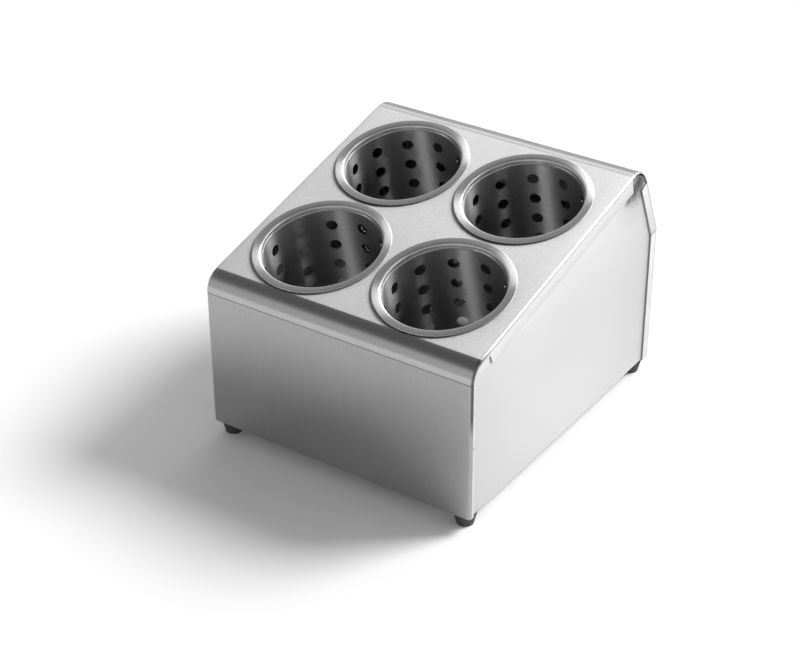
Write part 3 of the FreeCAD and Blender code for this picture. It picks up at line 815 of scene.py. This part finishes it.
# %% [markdown]
# ## The wrap
#
# Across the case, the wrap is flat, then turns round a small side bend into flanges. So
# one more list of positions is needed: x, and how far the section has moved inwards. On
# the side bend these follow a quarter circle. The skin is the section carried along
# that list. Over the top, four cells are left out for the plates with the round holes.

# %% Cross positions and the main skin
def top_station(distance):
    """Number of the station at a distance along the top."""
    return station_at(1, (distance - tangent_front) / (tangent_rear - tangent_front))


closest_columns = 0.5 * MM
flat_half = half_width - side_bend
return_reach = half_width - sheet - sheet - panel_return - return_gap
cut_angle = math.acos(1.0 - sheet / side_bend)
turn_angles = np.sort(np.append(np.linspace(0.0, math.pi / 2, 8), cut_angle))
bend_x = flat_half + side_bend * np.sin(turn_angles)
bend_inset = side_bend * (1.0 - np.cos(turn_angles))
cut_column = int(np.flatnonzero(np.isclose(turn_angles, cut_angle))[0])
cell_x = np.unique(np.round(np.append(np.linspace(0.0, flat_half, cell_lines), return_reach), decimals))
cell_x = cell_x[np.concatenate([[True], np.diff(cell_x) > closest_columns])]
cell_x[np.argmin(np.abs(cell_x - return_reach))] = return_reach


def skin(x_values, insets, first, last):
    """The section carried across: rows are stations first to last, columns are cross positions."""
    which = slice(first, last + 1)
    columns = [section(inset, which) for inset in insets]
    points = np.zeros((last + 1 - first, len(x_values), 3))
    for column, (x, line) in enumerate(zip(x_values, columns)):
        points[:, column, 0] = x
        points[:, column, 1:] = line
    across = np.asarray(x_values) + np.maximum(insets, 0.0) * np.sign(x_values)
    return patch(points, pairs(across[None, :], travel[which, None]))


start_top, middle_top, end_top = (top_station(d) for d in (cell_front, cell_middle, cell_rear))
last_station = len(stations) - 1
wrap_patches = []
for side in (-1, 1):
    flat_x = cell_x * side
    wrap_patches.append(skin(flat_x, np.zeros(len(flat_x)), 0, start_top))
    wrap_patches.append(skin(flat_x, np.zeros(len(flat_x)), end_top, last_station))
print("patches so far:", len(wrap_patches))

# %% [markdown]
# A plate with a round hole joins a cell's outline to a circle by straight lines, one from
# each point of the outline towards the circle's centre. A few points on each line give
# rings of faces, the innermost one narrow, so that the hole's edge is shaded cleanly.

# %% Plates with a round hole
plate_rings = (0.0, 0.03, 0.4, 1.0)


def on_slope(x, along, height=0.0):
    """A point of the sloping top: x, distance from the front corner, height above the top."""
    x, along, height = np.broadcast_arrays(x, along, height)
    y = front + along * math.cos(slope) - height * math.sin(slope)
    z = top_corner + along * math.sin(slope) + height * math.cos(slope)
    return np.stack([x, y, z], axis=-1)


def cell_outline(across, along):
    """Once round a four-sided cell, as points (across, along)."""
    return np.concatenate([
        pairs(across, along[0])[:-1],
        pairs(across[-1], along)[:-1],
        pairs(across[::-1], along[-1])[:-1],
        pairs(across[0], along[::-1]),
    ])


def rings_to_circle(outline, centre, radius, parts):
    """Rings of flat points: circle + part (outline - circle), for parts from 0 to 1."""
    away = outline - centre
    circle = centre + radius * away / np.linalg.norm(away, axis=1)[:, None]
    return circle[None] + np.array(parts)[:, None, None] * (outline - circle)[None]


def holed_plate(across, along, centre, radius, place):
    """A plate between a four-sided outline and a circle; place turns flat points into space."""
    flat = rings_to_circle(cell_outline(across, along), centre, radius, plate_rings)
    return patch(place(flat[..., 0], flat[..., 1]), flat)


wrap_hole = mouth_radius + rim_sheet + hole_clearance
top_lines = tangent_front + stations[:, 1] * (tangent_rear - tangent_front)
travel_offset = travel[start_top] - cell_front
for side in (-1, 1):
    for first, last, row in ((start_top, middle_top, 0), (middle_top, end_top, 1)):
        centre = np.array([column_pitch / 2 * side, front_row + row_pitch * row])
        points, flat = holed_plate(cell_x * side, top_lines[first:last + 1], centre, wrap_hole, on_slope)
        wrap_patches.append(patch(points, flat + np.array([0.0, travel_offset])))
print("patches with the holed plates:", len(wrap_patches))

# %% [markdown]
# The side bend and the flanges come next. The flange is narrow on the front, wide under
# the top, and missing round the rear bend, where the sheet could not be folded over
# both ways at once. Its lower front corner is rounded by a quarter circle. Between facet
# and back the flange is slit along the corner's bisector.

# %% Side bends and flanges
def flange(side, widths, first, last, shift=0.0, offset=flange_shift):
    """Flat flange in the side plane: from the side bend inwards to a width at each station.

    A shift moves the flange's end along its run, for the slit. The offset sets its flat
    coordinates (z, y) apart from the skin's, so that its finish can differ.
    """
    which = slice(first, last + 1)
    count = last + 1 - first
    widths = np.broadcast_to(np.asarray(widths, float), (count,))
    steps = [np.full(count, side_bend)]
    if widths.max() > front_lip:
        steps.append(np.full(count, front_lip))
    steps.append(widths)
    points = np.zeros((count, len(steps), 3))
    for column, inset in enumerate(steps):
        points[:, column, 0] = half_width * side
        points[:, column, 1:] = section(inset, which)
    if shift:
        row, number = (-1, 2) if shift > 0 else (0, 3)
        points[row, 1:, 1:] -= shift * run_direction[number]
    return patch(points, points[..., [2, 1]] - np.array([0.0, offset]))


def corner_widths(first, last):
    """Flange width under the top: a quarter circle at its front end, then constant."""
    left = np.clip(1.0 - (top_lines[first:last + 1] - flange_start) / flange_corner, 0.0, 1.0)
    return top_flange - flange_corner * (1.0 - np.sqrt(1.0 - left ** 2))


flange_first = top_station(flange_start)
notch_first = top_station(top_length - notch_reach)
notch_last = station_at(2, facet_flange_start)
facet_end, back_start = station_at(2, 1.0), station_at(3, 0.0)
for side in (-1, 1):
    whole, cut = (bend_x * side, bend_inset), (bend_x[:cut_column + 1] * side, bend_inset[:cut_column + 1])
    wrap_patches.append(skin(*whole, 0, notch_first))
    wrap_patches.append(skin(*cut, notch_first, notch_last))
    wrap_patches.append(skin(*whole, notch_last, last_station))
    wrap_patches.append(flange(side, front_lip, 0, flange_first, offset=lip_shift))
    wrap_patches.append(flange(side, corner_widths(flange_first, notch_first), flange_first, notch_first))
    wrap_patches.append(flange(side, rear_flange, notch_last, facet_end, shift=mitre_slit / 2))
    wrap_patches.append(flange(side, rear_flange, back_start, last_station, shift=-mitre_slit / 2))
print("patches with flanges:", len(wrap_patches))

# %% [markdown]
# At the bottom, front and back are folded inwards into short returns between the side
# panels. The skin of the wrap is then complete, and the sheet gets its thickness.

# %% Lower returns and the finished wrap
wrap_cut_edge = 0.12 * MM
return_x = cell_x[:int(np.argmin(np.abs(cell_x - return_reach))) + 1]
return_x = np.concatenate([-return_x[::-1], return_x[1:]])
for edge_y, inward, edge_v in ((front, 1.0, 0.0), (back, -1.0, travel[-1])):
    reach = np.array([0.0, (wrap_return + sheet) * inward])
    points = np.zeros((2, len(return_x), 3))
    points[..., 0] = return_x
    points[..., 1] = edge_y + reach[:, None]
    points[..., 2] = floor_gap
    wrap_patches.append(patch(points, pairs(return_x[None, :], (edge_v - reach)[:, None])))
wrap_mesh = mesh_from_patches("case_wrap", wrap_patches)
middle_of_case = (0.0, 0.0, floor_gap + front_rise / 2)
face_out(wrap_mesh, middle_of_case)
finish_piece("case_wrap", wrap_mesh, "case", "outer_wrap", case_steel,
             thickness=sheet, bevel=wrap_cut_edge)

# %% [markdown]
# ## The side panels
#
# Each panel is a flat plate with the section's outline, a little inside the wrap's
# bends, and it turns inwards at the bottom to carry two feet. Its skin is one polygon,
# a quarter-round bend and a strip.

# %% Side panels
panel_cut_edge = 0.1 * MM
quarter_turn = np.linspace(0.0, math.pi / 2, 7)


def side_panel(name, side):
    """Plate, lower bend and return of one side panel, as a skin that gets its thickness."""
    edge_gap = side_bend + panel_gap
    outline = section(edge_gap)
    outer_x = (half_width - sheet) * side
    low = outline[:, 1] < floor_gap + panel_bend
    outline[low, 1] = floor_gap + panel_bend
    plate = np.column_stack([np.full(len(outline), outer_x), outline])
    bend_line = pairs(outer_x - side * panel_bend * (1.0 - np.cos(quarter_turn)),
                      floor_gap + panel_bend * (1.0 - np.sin(quarter_turn)))
    strip_end = np.array([[(half_width - sheet - sheet - panel_return) * side, floor_gap]])
    line = np.concatenate([bend_line, strip_end])
    ends = np.array([outline[0, 0], outline[-1, 0]])
    points = np.zeros((2, len(line), 3))
    points[..., 0] = line[:, 0]
    points[..., 1] = ends[:, None]
    points[..., 2] = line[:, 1]
    flat = pairs(-lengths_along(line)[None, :], ends[:, None])
    plate_flat = pairs(plate[:, 2] - floor_gap - panel_bend, plate[:, 1])
    mesh = mesh_from_patches(name, [patch(points, flat)], [(plate, plate_flat)])
    face_out(mesh, middle_of_case)
    finish_piece(name, mesh, "case", "side_panel_" + name.split("_")[0], panel_steel,
                 thickness=sheet, bevel=panel_cut_edge)


side_panel("left_panel", -1)
side_panel("right_panel", 1)

# %% [markdown]
# ## Turned parts
#
# Rims, pans and feet are round. A closed profile of corners, some of them rounded, is
# turned about an axis: every profile point (r, h) becomes a circle of radius r at
# height h. The rounding of a corner is an arc that touches both its sides.

# %% Rounded profiles and turning
def rounded(corner_list, steps=8):
    """A closed profile from corners (r, h) or (r, h, radius); rounded corners become arcs."""
    count = len(corner_list)
    points = []
    for number, corner in enumerate(corner_list):
        here = np.array(corner[:2])
        if len(corner) == 2:
            points.append(here[None])
            continue
        to_last = np.array(corner_list[number - 1][:2]) - here
        to_next = np.array(corner_list[(number + 1) % count][:2]) - here
        to_last, to_next = to_last / np.linalg.norm(to_last), to_next / np.linalg.norm(to_next)
        half = math.acos(float(np.clip(to_last @ to_next, -1, 1))) / 2
        bisector = (to_last + to_next) / np.linalg.norm(to_last + to_next)
        centre = here + bisector * corner[2] / math.sin(half)
        first = here + to_last * corner[2] / math.tan(half) - centre
        last = here + to_next * corner[2] / math.tan(half) - centre
        start = math.atan2(first[1], first[0])
        turn = (math.atan2(last[1], last[0]) - start + math.pi) % (2 * math.pi) - math.pi
        angle = start + turn * np.linspace(0, 1, steps + 1)
        points.append(centre + corner[2] * pairs(np.cos(angle), np.sin(angle)))
    return np.concatenate(points)


def around(place, radius, angle, height):
    """The point (r cos a, r sin a, h) of a round piece, put where the piece belongs."""
    return place(radius * np.cos(angle), radius * np.sin(angle), height)


def turned(profile, place, segments):
    """Turn a closed profile about its axis; u runs along the profile and v round the axis."""
    line = np.concatenate([profile, profile[:1]])
    angle = np.linspace(0.0, 2 * math.pi, segments + 1)
    points = around(place, line[:, :1], angle, line[:, 1:])
    middle = float(line[:, 0].mean())
    return patch(points, pairs(lengths_along(line)[:, None], angle * middle))


def at_hole(place_name):
    """Puts local points of a cylinder in place, square to the top and off its hole by its slip."""
    side, row, turn, slip = cylinders[place_name]
    centre_x, along = column_pitch / 2 * side + slip, front_row + row_pitch * row

    def place(x, y, height):
        return on_slope(centre_x + x, along + y, height)
    return place


# %% [markdown]
# ## Rim rings
#
# The rim is a ring of thin sheet: a flat face with a thin crisp edge, which stands out
# over a groove, a step behind the groove that rests on the top, and a soft bend down
# into the neck. Its fine turning lines run round it, so the highlight is smeared from
# the centre outwards and forms two bright fans.

# %% Rim rings
edge_corner = 0.15 * MM


def rim_ring(place_name):
    """Thin edge, step, flat face and neck of one rim, as a closed section turned round."""
    profile = rounded([
        (rim_radius - hem_reach, 0.0),
        (rim_radius - hem_reach, rim_height - hem_edge),
        (rim_radius, rim_height - hem_edge, edge_corner),
        (rim_radius, rim_height, rim_edge_bend),
        (mouth_radius, rim_height, mouth_bend),
        (mouth_radius, -neck_reach),
        (mouth_radius + rim_sheet, -neck_reach),
        (mouth_radius + rim_sheet, rim_height - rim_sheet, mouth_bend - rim_sheet),
        (rim_radius - hem_reach - rim_sheet, rim_height - rim_sheet),
        (rim_radius - hem_reach - rim_sheet, 0.0),
    ])
    mesh = mesh_from_patches("rim_" + place_name, [turned(profile, at_hole(place_name), segments=144)])
    face_out(mesh)
    finish_piece("rim_" + place_name, mesh, "cylinder_" + place_name,
                 "rim_ring_" + place_name, rim_steel)


for place_name in cylinders:
    rim_ring(place_name)

# %% [markdown]
# ## Perforated tubes
#
# A perforated tube repeats one cell: a piece of wall with a round hole. The cell is the
# same holed plate as on the top, but rolled: the flat distance s becomes the angle s / R.
# Cells share their outlines, so rows and columns of them close into a tube, and the
# plain strips above and below use the same angles.

# %% Perforated tubes
hole_cell_lines = 9


def perforated_tube(place_name):
    """Rows and columns of rolled cells with round holes, between two plain strips."""
    outer = mouth_radius - weld_fit
    place = at_hole(place_name)
    turn = cylinders[place_name][2]
    cell_angle = 2 * math.pi / hole_columns
    half_cell = outer * cell_angle / 2

    def roll(start_angle):
        def rolled(across, height):
            return around(place, outer, start_angle + across / outer, height)
        return rolled

    steps = np.linspace(-half_cell, half_cell, hole_cell_lines)
    low = base_bend + weld_fit - cylinder_depth
    row_heights = -(first_hole + hole_pitch * np.arange(hole_rows))
    plain_strips = [
        np.array([-tube_top, row_heights[0] + hole_pitch / 2]),
        np.array([row_heights[-1] - hole_pitch / 2, low]),
    ]
    patches = []
    for column in range(hole_columns):
        start_angle = math.radians(turn) + cell_angle * column
        rolled = roll(start_angle)
        shift = np.array([0.0, start_angle * outer])
        for height in row_heights:
            lines = height + np.linspace(hole_pitch / 2, -hole_pitch / 2, hole_cell_lines)
            points, flat = holed_plate(steps, lines, np.array([0.0, height]), hole_radius, rolled)
            patches.append(patch(points, flat[..., ::-1] + shift))
        for strip in plain_strips:
            across, height = np.broadcast_arrays(steps[None, :], strip[:, None])
            patches.append(patch(rolled(across, height), pairs(height, across + shift[1])))
    mesh = mesh_from_patches("tube_wall_" + place_name, patches)
    face_out(mesh, place(0.0, 0.0, -cylinder_depth / 2))
    finish_piece("tube_wall_" + place_name, mesh, "cylinder_" + place_name,
                 "tube_" + place_name, shaded_tube_steel, thickness=tube_sheet)


for place_name in cylinders:
    perforated_tube(place_name)

# %% [markdown]
# ## Base pans
#
# A drawn pan closes each tube. Its floor is a disc with one drain hole in the middle and
# a ring of others. It is made of equal sectors. In each, the part with the drain hole is
# a holed plate again, with its outline bent round the axis. Inside it lies a plain ring
# up to the middle hole. Outside it the pan's edge turns up round the tube's lower end.

# %% Base pans
inner_ring, outer_ring = 14.0 * MM, 38.0 * MM
grain_ring = 20.0 * MM
sector_lines, ring_lines = 13, 7
drain_rings = (0.0, 0.3, 1.0)


def base_pan(place_name):
    """Floor sectors with drain holes, a round bend and the upturned edge, given thickness."""
    place = at_hole(place_name)
    low = -cylinder_depth
    edge = mouth_radius + base_sheet
    sector = 2 * math.pi / drain_count
    patches = []

    bend_line = pairs(edge - base_bend * (1.0 - np.sin(quarter_turn)),
                      low + base_bend * (1.0 - np.cos(quarter_turn)))
    edge_line = np.concatenate([[[outer_ring, low]], bend_line, [[edge, low + base_rim]]])
    centre_line = np.array([[drain_radius, low], [inner_ring, low]])

    for number in range(drain_count):
        middle = sector * number
        angles = middle + np.linspace(-sector / 2, sector / 2, sector_lines)
        angle, radius = cell_outline(angles, np.linspace(inner_ring, outer_ring, ring_lines)).T
        outline = radius[:, None] * pairs(np.cos(angle), np.sin(angle))
        centre = drain_circle * np.array([math.cos(middle), math.sin(middle)])
        flat = rings_to_circle(outline, centre, drain_radius, drain_rings)
        patches.append(patch(place(flat[..., 0], flat[..., 1], low), flat))
        flat = pairs(centre_line[:, :1], angles * grain_ring)
        patches.append(patch(around(place, centre_line[:, :1], angles, centre_line[:, 1:]), flat))
        flat = pairs(lengths_along(edge_line)[:, None], angles * edge)
        patches.append(patch(around(place, edge_line[:, :1], angles, edge_line[:, 1:]), flat))
    mesh = mesh_from_patches("pan_" + place_name, patches)
    face_out(mesh, place(0.0, 0.0, -cylinder_depth / 2))
    finish_piece("pan_" + place_name, mesh, "cylinder_" + place_name,
                 "base_pan_" + place_name, pan_steel, thickness=base_sheet)


for place_name in cylinders:
    base_pan(place_name)

# %% [markdown]
# ## Feet and fasteners
#
# A foot is a tapered rubber buffer with a recess for its screw, turned like the rims.

# %% Rubber feet
shoulder_corner = 0.4 * MM


def rubber_foot(corner_name, side, end):
    """One tapered foot, its section turned about a vertical axis."""
    centre_x, centre_y = (half_width - foot_inset) * side, (half_depth - foot_inset) * end

    def place(x, y, height):
        return np.stack(np.broadcast_arrays(centre_x + x, centre_y + y, height), axis=-1)

    profile = rounded([
        (foot_bore, foot_recess_depth),
        (foot_bore, foot_height),
        (foot_top - foot_neck, foot_height),
        (foot_top - foot_neck, foot_height - foot_neck_height),
        (foot_top, foot_height - foot_neck_height, shoulder_corner),
        (foot_bottom, 0.0, foot_edge),
        (foot_recess, 0.0),
        (foot_recess, foot_recess_depth),
    ])
    mesh = mesh_from_patches("buffer_" + corner_name, [turned(profile, place, segments=64)])
    face_out(mesh)
    finish_piece("buffer_" + corner_name, mesh, "case", "foot_" + corner_name, foot_rubber)


for end_name, end in (("front", -1), ("rear", 1)):
    for side_name, side in (("left", -1), ("right", 1)):
        rubber_foot(end_name + "_" + side_name, side, end)

# %% [markdown]
# Screws, washers and nuts are small standard parts whose solids are already right: they
# keep their own shape and only get their finish.

# %% Fasteners keep their solids
for name in ("foot_screws", "foot_washers", "foot_nuts"):
    solid = frame["nodes"][name]
    solid.data.materials.clear()
    solid.data.materials.append(fastener_steel)
print("fasteners finished")

# %% [markdown]
# ## Table
#
# The dispenser stands on a plain white table. To the camera and in reflections the table
# is a little lighter than it is for the light that it scatters. So it looks white, keeps
# its shadow, and doesn't flood the case with light from below.

# %% Table
table_half = 6.0
seen_white, plain_white = 0.95, 0.78


def white_table():
    """A wide square at z = 0, with one white for what looks at it and one for its own light."""
    corner_points = [(x * table_half, y * table_half, 0.0) for x, y in ((-1, -1), (1, -1), (1, 1), (-1, 1))]
    mesh = bpy.data.meshes.new("table")
    mesh.from_pydata(corner_points, [], [(0, 1, 2, 3)])
    table = bpy.data.objects.new("table", mesh)
    bpy.context.scene.collection.objects.link(table)
    material = bpy.data.materials.new("table_white")
    material.use_nodes = True
    material.node_tree.nodes.clear()
    output = node(material, "ShaderNodeOutputMaterial")
    seen = node(material, "ShaderNodeBsdfDiffuse")
    seen.inputs["Color"].default_value = (seen_white, seen_white, seen_white, 1.0)
    plain = node(material, "ShaderNodeBsdfDiffuse")
    plain.inputs["Color"].default_value = (plain_white, plain_white, plain_white, 1.0)
    path = node(material, "ShaderNodeLightPath")
    choose = node(material, "ShaderNodeMixShader")
    direct = arithmetic(material, "MAXIMUM", path.outputs["Is Camera Ray"], path.outputs["Is Glossy Ray"])
    either = arithmetic(material, "MAXIMUM", direct, path.outputs["Is Transmission Ray"])
    link(material, either, choose.inputs["Fac"])
    link(material, plain.outputs[0], choose.inputs[1])
    link(material, seen.outputs[0], choose.inputs[2])
    link(material, choose.outputs[0], output.inputs["Surface"])
    mesh.materials.append(material)


white_table()
print("table of %.0f m by %.0f m" % (2 * table_half, 2 * table_half))

# %% [markdown]
# ## Room
#
# Metal shows what is around it, so the room matters as much as the lamps. Its light
# depends on the direction alone: bright low down and dark overhead, brightest towards the
# main lamp. Behind on the left, just above the table, there is a dark gap, such as a door
# would be: without something dark to mirror, bright metal looks like white paint. A side
# is a direction, and its edge gives the two dot products with it between which the light
# changes. Strengths are given away from the lamp and towards it.

# %% Room light
lamp_side, lamp_side_edge = (0.32, 0.90, 0.28), (0.3, 0.95)
low_strength, overhead_strength, overhead_edge = (0.72, 2.8), (0.14, 0.3), (0.50, 0.70)
gap_side, gap_side_edge = (-0.50, 0.87, 0.0), (0.75, 0.88)
gap_band, gap_depth = (-0.02, 0.13, 0.05), 0.92


def facing(world, direction, towards):
    """How much a direction points towards another one: their dot product."""
    made = node(world, "ShaderNodeVectorMath", operation="DOT_PRODUCT")
    made.inputs[1].default_value = towards
    link(world, direction, made.inputs[0])
    return made.outputs["Value"]


def studio_room():
    """Strength = (low or overhead value, by height) times (1 - gap); plain white to the camera."""
    world = bpy.data.worlds.new("room")
    bpy.context.scene.world = world
    world.use_nodes = True
    world.node_tree.nodes.clear()
    output = node(world, "ShaderNodeOutputWorld")
    room_light = node(world, "ShaderNodeBackground")
    room_light.inputs["Color"].default_value = (1.0, 1.0, 1.0, 1.0)
    white = node(world, "ShaderNodeBackground")
    white.inputs["Color"].default_value = (1.0, 1.0, 1.0, 1.0)
    white.inputs["Strength"].default_value = 1.0
    mix = node(world, "ShaderNodeMixShader")
    path = node(world, "ShaderNodeLightPath")
    direction = node(world, "ShaderNodeTexCoord").outputs["Generated"]
    height = axes_of(world, direction)["Z"]

    up = remap(world, height, *overhead_edge, 0.0, 1.0)
    near_lamp = remap(world, facing(world, direction, lamp_side), *lamp_side_edge, 0.0, 1.0)
    overhead = remap(world, near_lamp, 0.0, 1.0, *overhead_strength)
    low_down = remap(world, near_lamp, 0.0, 1.0, *low_strength)
    blend = node(world, "ShaderNodeMix", data_type="FLOAT")
    link(world, up, blend.inputs[0])
    link(world, low_down, blend.inputs[2])
    link(world, overhead, blend.inputs[3])
    behind = remap(world, facing(world, direction, gap_side), *gap_side_edge, 0.0, 1.0)
    level = band(world, height, *gap_band, 0.0, gap_depth)
    outside_gap = minus(world, 1.0, times(world, behind, level))
    link(world, times(world, blend.outputs[0], outside_gap), room_light.inputs["Strength"])

    link(world, path.outputs["Is Camera Ray"], mix.inputs["Fac"])
    link(world, room_light.outputs[0], mix.inputs[1])
    link(world, white.outputs[0], mix.inputs[2])
    link(world, mix.outputs[0], output.inputs["Surface"])
    return world


print("world:", studio_room().name)

# %% [markdown]
# ## Lamps
#
# Three far lamps light the scene, and light linking says which pieces each one reaches.
# The main lamp is large and soft, and stands to the right and behind: it makes the one
# shadow and lights the case, but spares the rims. A window behind puts the bright fans
# on the rims and the gleam into the tubes and pans. A narrow strip, high up at the front
# left, runs as a streak down the tubes' rear walls. The window and the strip show only in
# gloss, so they add no second shadow.

# %% Lamps and what they reach
def far_lamp(name, energy, spread, towards):
    """A sun lamp that shines from a direction (x, y, z), as wide as an angle in degrees.

    It looks down its own Z axis. A tilt of atan2(hypot(x, y), z) about X and a turn of
    atan2(x, -y) about Z point it back along the direction.
    """
    lamp = bpy.data.lights.new(name, "SUN")
    lamp.energy = energy
    lamp.angle = math.radians(spread)
    holder = bpy.data.objects.new(name, lamp)
    bpy.context.scene.collection.objects.link(holder)
    x, y, z = towards
    holder.rotation_euler = (math.atan2(math.hypot(x, y), z), 0.0, math.atan2(x, -y))
    return holder


def link_light(holder, group_name, starts):
    """Tie a lamp to a collection of the pieces whose names start as given."""
    group = bpy.data.collections.new(group_name)
    for piece in bpy.context.scene.objects:
        if piece.name.startswith(starts):
            group.objects.link(piece)
    holder.light_linking.receiver_collection = group
    return group


soft_lamp = far_lamp("soft_lamp", energy=2.9, spread=24, towards=(0.70, 0.90, 1.0))
spared = link_light(soft_lamp, "spared_by_soft_lamp", "rim_")
for entry in spared.collection_objects:
    entry.light_linking.link_state = "EXCLUDE"

rear_window = far_lamp("rear_window", energy=1.5, spread=28, towards=(-0.12, 0.78, 0.61))
rear_window.visible_diffuse = False
link_light(rear_window, "lit_by_rear_window", ("rim_", "tube_wall_", "pan_"))

high_strip = far_lamp("high_strip", energy=3.0, spread=4, towards=(-0.24, -0.52, 0.82))
high_strip.visible_diffuse = False
link_light(high_strip, "lit_by_high_strip", "tube_wall_")

# %% [markdown]
# ## Camera
#
# The camera stands at the front right, above the dispenser, and looks down at it. Its
# axes are worked out from three angles: a turn about Z, a tilt down and a tiny roll.

# %% Camera
camera_yaw, camera_tilt, camera_roll = 0.6003, 0.5425, -0.0045
camera_place = np.array([719.57, -1104.75, 860.71]) * MM
lens_length, sensor_width = 85.16, 36.0


def studio_camera():
    """Axes: look goes along the view, right and up across it; the roll turns right and up."""
    level, drop = math.cos(camera_tilt), math.sin(camera_tilt)
    look = np.array([-math.sin(camera_yaw) * level, math.cos(camera_yaw) * level, -drop])
    right = np.array([math.cos(camera_yaw), math.sin(camera_yaw), 0.0])
    up = np.cross(right, look)
    cosine, sine = math.cos(camera_roll), math.sin(camera_roll)
    right, up = cosine * right + sine * up, cosine * up - sine * right
    camera = bpy.data.cameras.new("camera")
    camera.sensor_width = sensor_width
    camera.lens = lens_length
    camera.clip_start, camera.clip_end = 0.05, 60.0
    holder = bpy.data.objects.new("camera", camera)
    bpy.context.scene.collection.objects.link(holder)
    place = np.eye(4)
    place[:3, 0], place[:3, 1], place[:3, 2] = right, up, -look
    place[:3, 3] = camera_place
    holder.matrix_world = Matrix(place.tolist())
    bpy.context.scene.camera = holder
    return holder


print("camera at", [round(c, 3) for c in studio_camera().matrix_world.translation])

# %% [markdown]
# ## Finish
#
# The view transform is set to Standard, so colours render as they are written. The
# visible model must stay inside the box of the solids.

# %% Finish
view = bpy.context.scene.view_settings
view.view_transform = "Standard"
